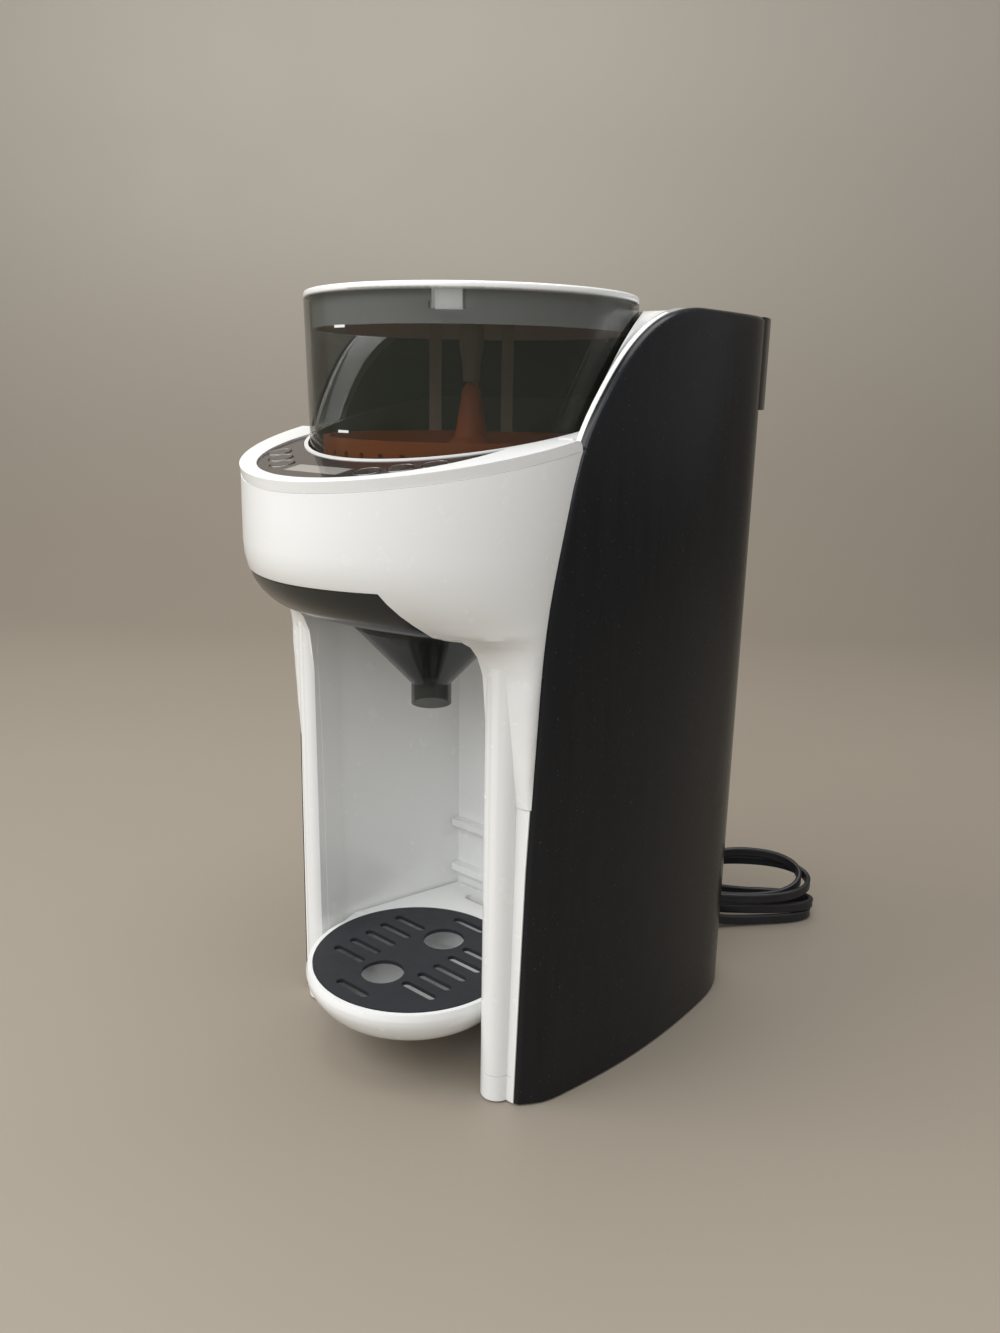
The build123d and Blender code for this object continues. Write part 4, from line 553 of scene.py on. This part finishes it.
class DISPENSER_OT_lead(bpy.types.Operator):
    """Flat twin mains lead in its loose hank, with its plug and strain relief"""

    bl_idname = "dispenser.lead"
    bl_label = "Mains lead"

    def execute(self, context):
        sizes = context.scene.dispenser_sizes
        cover = lead_rubber()
        along = Vector((math.cos(VIEW_TURN), math.sin(VIEW_TURN), 0))
        across = Vector((-along.y, along.x, 0))
        route = [Vector(LEAD_EXIT), Vector((0.051, 0.1435, 0.012)), Vector((0.0575, 0.1535, 0.007)),
                 Vector((0.066, 0.163, 0.0044))]
        # each turn: left and right reach along the hank, near and far side across it, near and far height
        turns = [(0.118, 0.212, 0.084, 0.113, 0.0036, 0.0036),
                 (0.121, 0.213, 0.0855, 0.110, 0.0102, 0.0100),
                 (0.119, 0.211, 0.084, 0.119, 0.0176, 0.0290),
                 (0.124, 0.206, 0.092, 0.117, 0.0145, 0.0355)]
        for index, (left, right, near, far, near_z, far_z) in enumerate(turns):
            following = turns[min(index + 1, len(turns) - 1)]
            for step in range(5 if index == 0 else 0, TURN_STEPS):
                angle = 2 * math.pi * step / TURN_STEPS
                c, s = math.cos(angle), math.sin(angle)
                run = (left + right) / 2 - (right - left) / 2 * math.copysign(abs(c) ** 0.8, c)
                reach = (near + far) / 2 - (far - near) / 2 * math.copysign(abs(s) ** 0.9, s)
                share = (1 - s) / 2
                height = near_z * (1 - share) + far_z * share
                late = max(0.0, step / TURN_STEPS - 0.75) * 4
                height += late * ((following[4] + following[5]) / 2 - height)
                run += late * (following[0] - left)
                route.append(along * run + across * reach + Vector((0, 0, height)))
        route += [along * 0.1195 + across * 0.1010 + Vector((0, 0, 0.0215)),
                  Vector((0.0200, 0.1530, 0.0150)), Vector((0.0095, 0.1505, 0.0085)),
                  Vector((-0.0040, 0.1500, 0.0072)), Vector((-0.0200, 0.1500, 0.0084))]
        profile = bpy.data.curves.new("lead_profile", "CURVE")
        profile.dimensions = "2D"
        outline = profile.splines.new("POLY")
        half, thick = sizes.lead_width / 2, sizes.lead_thick / 2
        spots = []
        for turn in range(24):
            angle = 2 * math.pi * turn / 24
            x, y = math.cos(angle), math.sin(angle)
            centre = half - thick
            waist = 1 - 0.28 * math.exp(-((x * half) / 0.0007) ** 2)
            spots.append((thick * y * waist, math.copysign(centre, x) * min(1, abs(x) * 3) + thick * x))
        outline.points.add(len(spots) - 1)
        for point, spot in zip(outline.points, spots):
            point.co = (*spot, 0, 1)
        outline.use_cyclic_u = True
        section = bpy.data.objects.new("lead_profile", profile)
        context.scene.collection.objects.link(section)
        section.hide_render = section.hide_viewport = True

        curve = bpy.data.curves.new("mains_lead", "CURVE")
        curve.dimensions, curve.twist_mode, curve.resolution_u = "3D", "Z_UP", 6
        curve.bevel_mode, curve.bevel_object, curve.use_fill_caps = "OBJECT", section, True
        spline = curve.splines.new("NURBS")
        spline.points.add(len(route) - 1)
        for point, spot in zip(spline.points, route):
            point.co = (*spot, 1)
        spline.order_u, spline.use_endpoint_u = 3, True
        curve.materials.append(cover)
        lead = bpy.data.objects.new("mains_lead", curve)
        context.scene.collection.objects.link(lead)
        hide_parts("power_cord", "cord_tail", "cord_coil")
        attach(lead, "base")
        plug = smooth_copy("plug_body", cover)
        blades = smooth_copy("plug_blades", brushed("plug brass", (0.75, 0.62, 0.35), 0.25))
        gland = smooth_copy("cord_gland", cover)
        length = sum((b - a).length for a, b in zip(route, route[1:])) * SPLINE_SHORTENS
        return {"FINISHED"}


class DISPENSER_OT_shells(bpy.types.Operator):
    """White housing, cowl, bay, tray and foot caps, black panels, pads and mat"""

    bl_idname = "dispenser.shells"
    bl_label = "Shells and panels"

    def execute(self, context):
        colours = context.scene.dispenser_colours
        white = white_shell(colours.white)
        black = black_panel(colours.black)
        for node in ("front_housing", "body_shell", "bay_liner", "top_bezel", "hopper_collar",
                     "foot_cap_right", "foot_cap_left", "drip_tray"):
            smooth_copy(node, white)
        smooth_copy("cowl", cowl_white_with_painted_shade(colours.white))
        for node in ("side_panel_right", "side_panel_left", "fill_flap"):
            smooth_copy(node, black)
        soften(smooth_copy("tank_lid", black), 0.0035)
        for name, side in (("cheek_trim_right", 1), ("cheek_trim_left", -1)):
            mesh_piece(name, cheek_trim(name, side), white, "base")
        pads = moulded("pad rubber", (0.03, 0.03, 0.03), 0.6, grain=0.00003).material
        for node in ("pad_front_right", "pad_front_left", "pad_rear_right", "pad_rear_left"):
            smooth_copy(node, pads)
        smooth_copy("tray_mat", mat_rubber(colours.mat))
        return {"FINISHED"}


class DISPENSER_OT_hopper(bpy.types.Operator):
    """Smoke hopper with its level ticks, white lid, scraper and orange wheel"""

    bl_idname = "dispenser.hopper"
    bl_label = "Powder hopper"

    def execute(self, context):
        colours, sizes = context.scene.dispenser_colours, context.scene.dispenser_sizes
        white = white_shell(colours.white)
        smooth_copy("powder_hopper", smoke("hopper smoke", colours.hopper, 0.41, 0.82))
        smooth_copy("lid_latch", smoke("latch clear", (0.45, 0.46, 0.44), 0.35, 0.6))
        smooth_copy("hopper_lid", white)
        smooth_copy("hopper_floor", moulded("floor grey", (0.16, 0.15, 0.14), 0.4).material)
        scraper = moulded("scraper grey", (0.40, 0.36, 0.32), 0.35, 0.2).material
        smooth_copy("lid_scraper", scraper)
        smooth_copy("powder_wheel", dosing_orange(colours.orange))
        ink = moulded("tick ink", (0.75, 0.76, 0.74), 0.5, spread=0.1).material
        mesh = bpy.data.meshes.new("level_ticks")
        work = bmesh.new()
        for height in TICK_LEVELS:
            radius = HOPPER_RADIUS + (height - HOPPER_FOOT) / HOPPER_TALL * HOPPER_FLARE
            rows = []
            for lift in (0.00002, 0.00014):
                for rise in (-sizes.tick_height / 2, sizes.tick_height / 2):
                    row = []
                    for step in range(9):
                        angle = math.asin((-0.008 + 0.007 * step / 8) / radius)
                        spot = ((radius + lift) * math.sin(angle),
                                HOPPER_Y - (radius + lift) * math.cos(angle), height + rise)
                        row.append(work.verts.new(spot))
                    rows.append(row)
            inner_low, inner_high, outer_low, outer_high = rows
            for step in range(8):
                for first, second in ((outer_low, outer_high), (outer_high, inner_high),
                                      (inner_high, inner_low), (inner_low, outer_low)):
                    work.faces.new((first[step], first[step + 1], second[step + 1], second[step]))
            for step in (0, 8):
                work.faces.new((inner_low[step], outer_low[step], outer_high[step], inner_high[step]))
        bmesh.ops.recalc_face_normals(work, faces=work.faces)
        work.to_mesh(mesh)
        work.free()
        mesh_piece("level_ticks", mesh, ink, "hopper")
        return {"FINISHED"}


class DISPENSER_OT_controls(bpy.types.Operator):
    """Dark gloss control face, display and ringed buttons"""

    bl_idname = "dispenser.controls"
    bl_label = "Controls"

    def execute(self, context):
        sizes = context.scene.dispenser_sizes
        gloss = control_gloss()
        smooth_copy("control_face", gloss)
        smooth_copy("display_window", display_glass())
        spots = []
        for x, y in BUTTON_SPOTS:
            spots += [seam_point(x, y, 0.0040), seam_point(-x, y, 0.0040)]
        for side in ("right", "left"):
            for index in (1, 2, 3):
                smooth_copy(f"button_{side}_{index}", gloss)
        silver = brushed("ring silver", (0.55, 0.54, 0.52), 0.3)
        bake_nodes("button_rings", points_mesh("button_spots", spots), ring_tree(silver),
                   {"Ring radius": sizes.ring_radius, "Line thickness": 0.00016, "Tilt": SEAM_TILT},
                   silver, "base")
        return {"FINISHED"}


class DISPENSER_OT_funnel(bpy.types.Operator):
    """Smoke visor, mixing funnel and inner spout"""

    bl_idname = "dispenser.funnel"
    bl_label = "Funnel drawer"

    def execute(self, context):
        colours = context.scene.dispenser_colours
        smooth_copy("funnel_cover", smoke("visor smoke", colours.funnel, 0.86, 0.95, 0.16))
        smooth_copy("mixing_funnel", smoke("funnel smoke", colours.funnel, 0.55, 0.9, 0.1))
        darker = tuple(0.6 * c for c in colours.funnel)
        smooth_copy("funnel_spout", smoke("spout smoke", darker, 0.8, 0.95, 0.12))
        return {"FINISHED"}


class DISPENSER_OT_works(bpy.types.Operator):
    """Water tank and the works out of sight"""

    bl_idname = "dispenser.works"
    bl_label = "Tank and works"

    def execute(self, context):
        smooth_copy("water_tank", smoke("tank clear", (0.62, 0.67, 0.70), 0.22, 0.55, 0.06))
        inner = moulded("inner grey", (0.45, 0.45, 0.43), 0.45).material
        for node in ("powder_chute", "water_spout", "tank_dock", "base_plate", "gear_deck", "tank_valve"):
            smooth_copy(node, inner)
        gears = moulded("gear cream", (0.62, 0.58, 0.48), 0.4).material
        for node in ("drive_gear", "motor_pinion"):
            smooth_copy(node, gears)
        steel = brushed("motor can", (0.56, 0.56, 0.55))
        for node in ("gear_motor", "water_pump", "base_screw_1", "base_screw_2"):
            smooth_copy(node, steel)
        smooth_copy("heater_block", brushed("cast heater", (0.68, 0.68, 0.68), 0.5))
        hose = moulded("hose silicone", (0.62, 0.61, 0.58), 0.45).material
        for node in ("suction_hose", "pressure_hose", "outlet_hose"):
            smooth_copy(node, hose)
        board = board_green()
        for node in ("power_board", "control_board"):
            smooth_copy(node, board)
        return {"FINISHED"}


STEPS = (DISPENSER_OT_studio, DISPENSER_OT_lead, DISPENSER_OT_shells, DISPENSER_OT_hopper,
         DISPENSER_OT_controls, DISPENSER_OT_funnel, DISPENSER_OT_works)


class DISPENSER_PT_panel(bpy.types.Panel):
    """Lists the dispenser's steps in the order they run"""

    bl_idname = "DISPENSER_PT_panel"
    bl_label = "Formula dispenser"
    bl_space_type = "VIEW_3D"
    bl_region_type = "UI"
    bl_category = "Dispenser"

    def draw(self, context):
        for step in STEPS:
            self.layout.operator(step.bl_idname)
        for group in (context.scene.dispenser_colours, context.scene.dispenser_sizes):
            for name in group.__annotations__:
                self.layout.prop(group, name)


CLASSES = (DispenserColours, DispenserSizes, *STEPS, DISPENSER_PT_panel)


def register():
    for item in CLASSES:
        bpy.utils.register_class(item)
    bpy.types.Scene.dispenser_colours = bpy.props.PointerProperty(type=DispenserColours)
    bpy.types.Scene.dispenser_sizes = bpy.props.PointerProperty(type=DispenserSizes)


def unregister():
    del bpy.types.Scene.dispenser_colours
    del bpy.types.Scene.dispenser_sizes
    for item in reversed(CLASSES):
        bpy.utils.unregister_class(item)


def main():
    """Runs every step in order."""
    register()
    for step in STEPS:
        group, name = step.bl_idname.split(".")
        getattr(getattr(bpy.ops, group), name)()


if __name__ == "__main__":
    main()
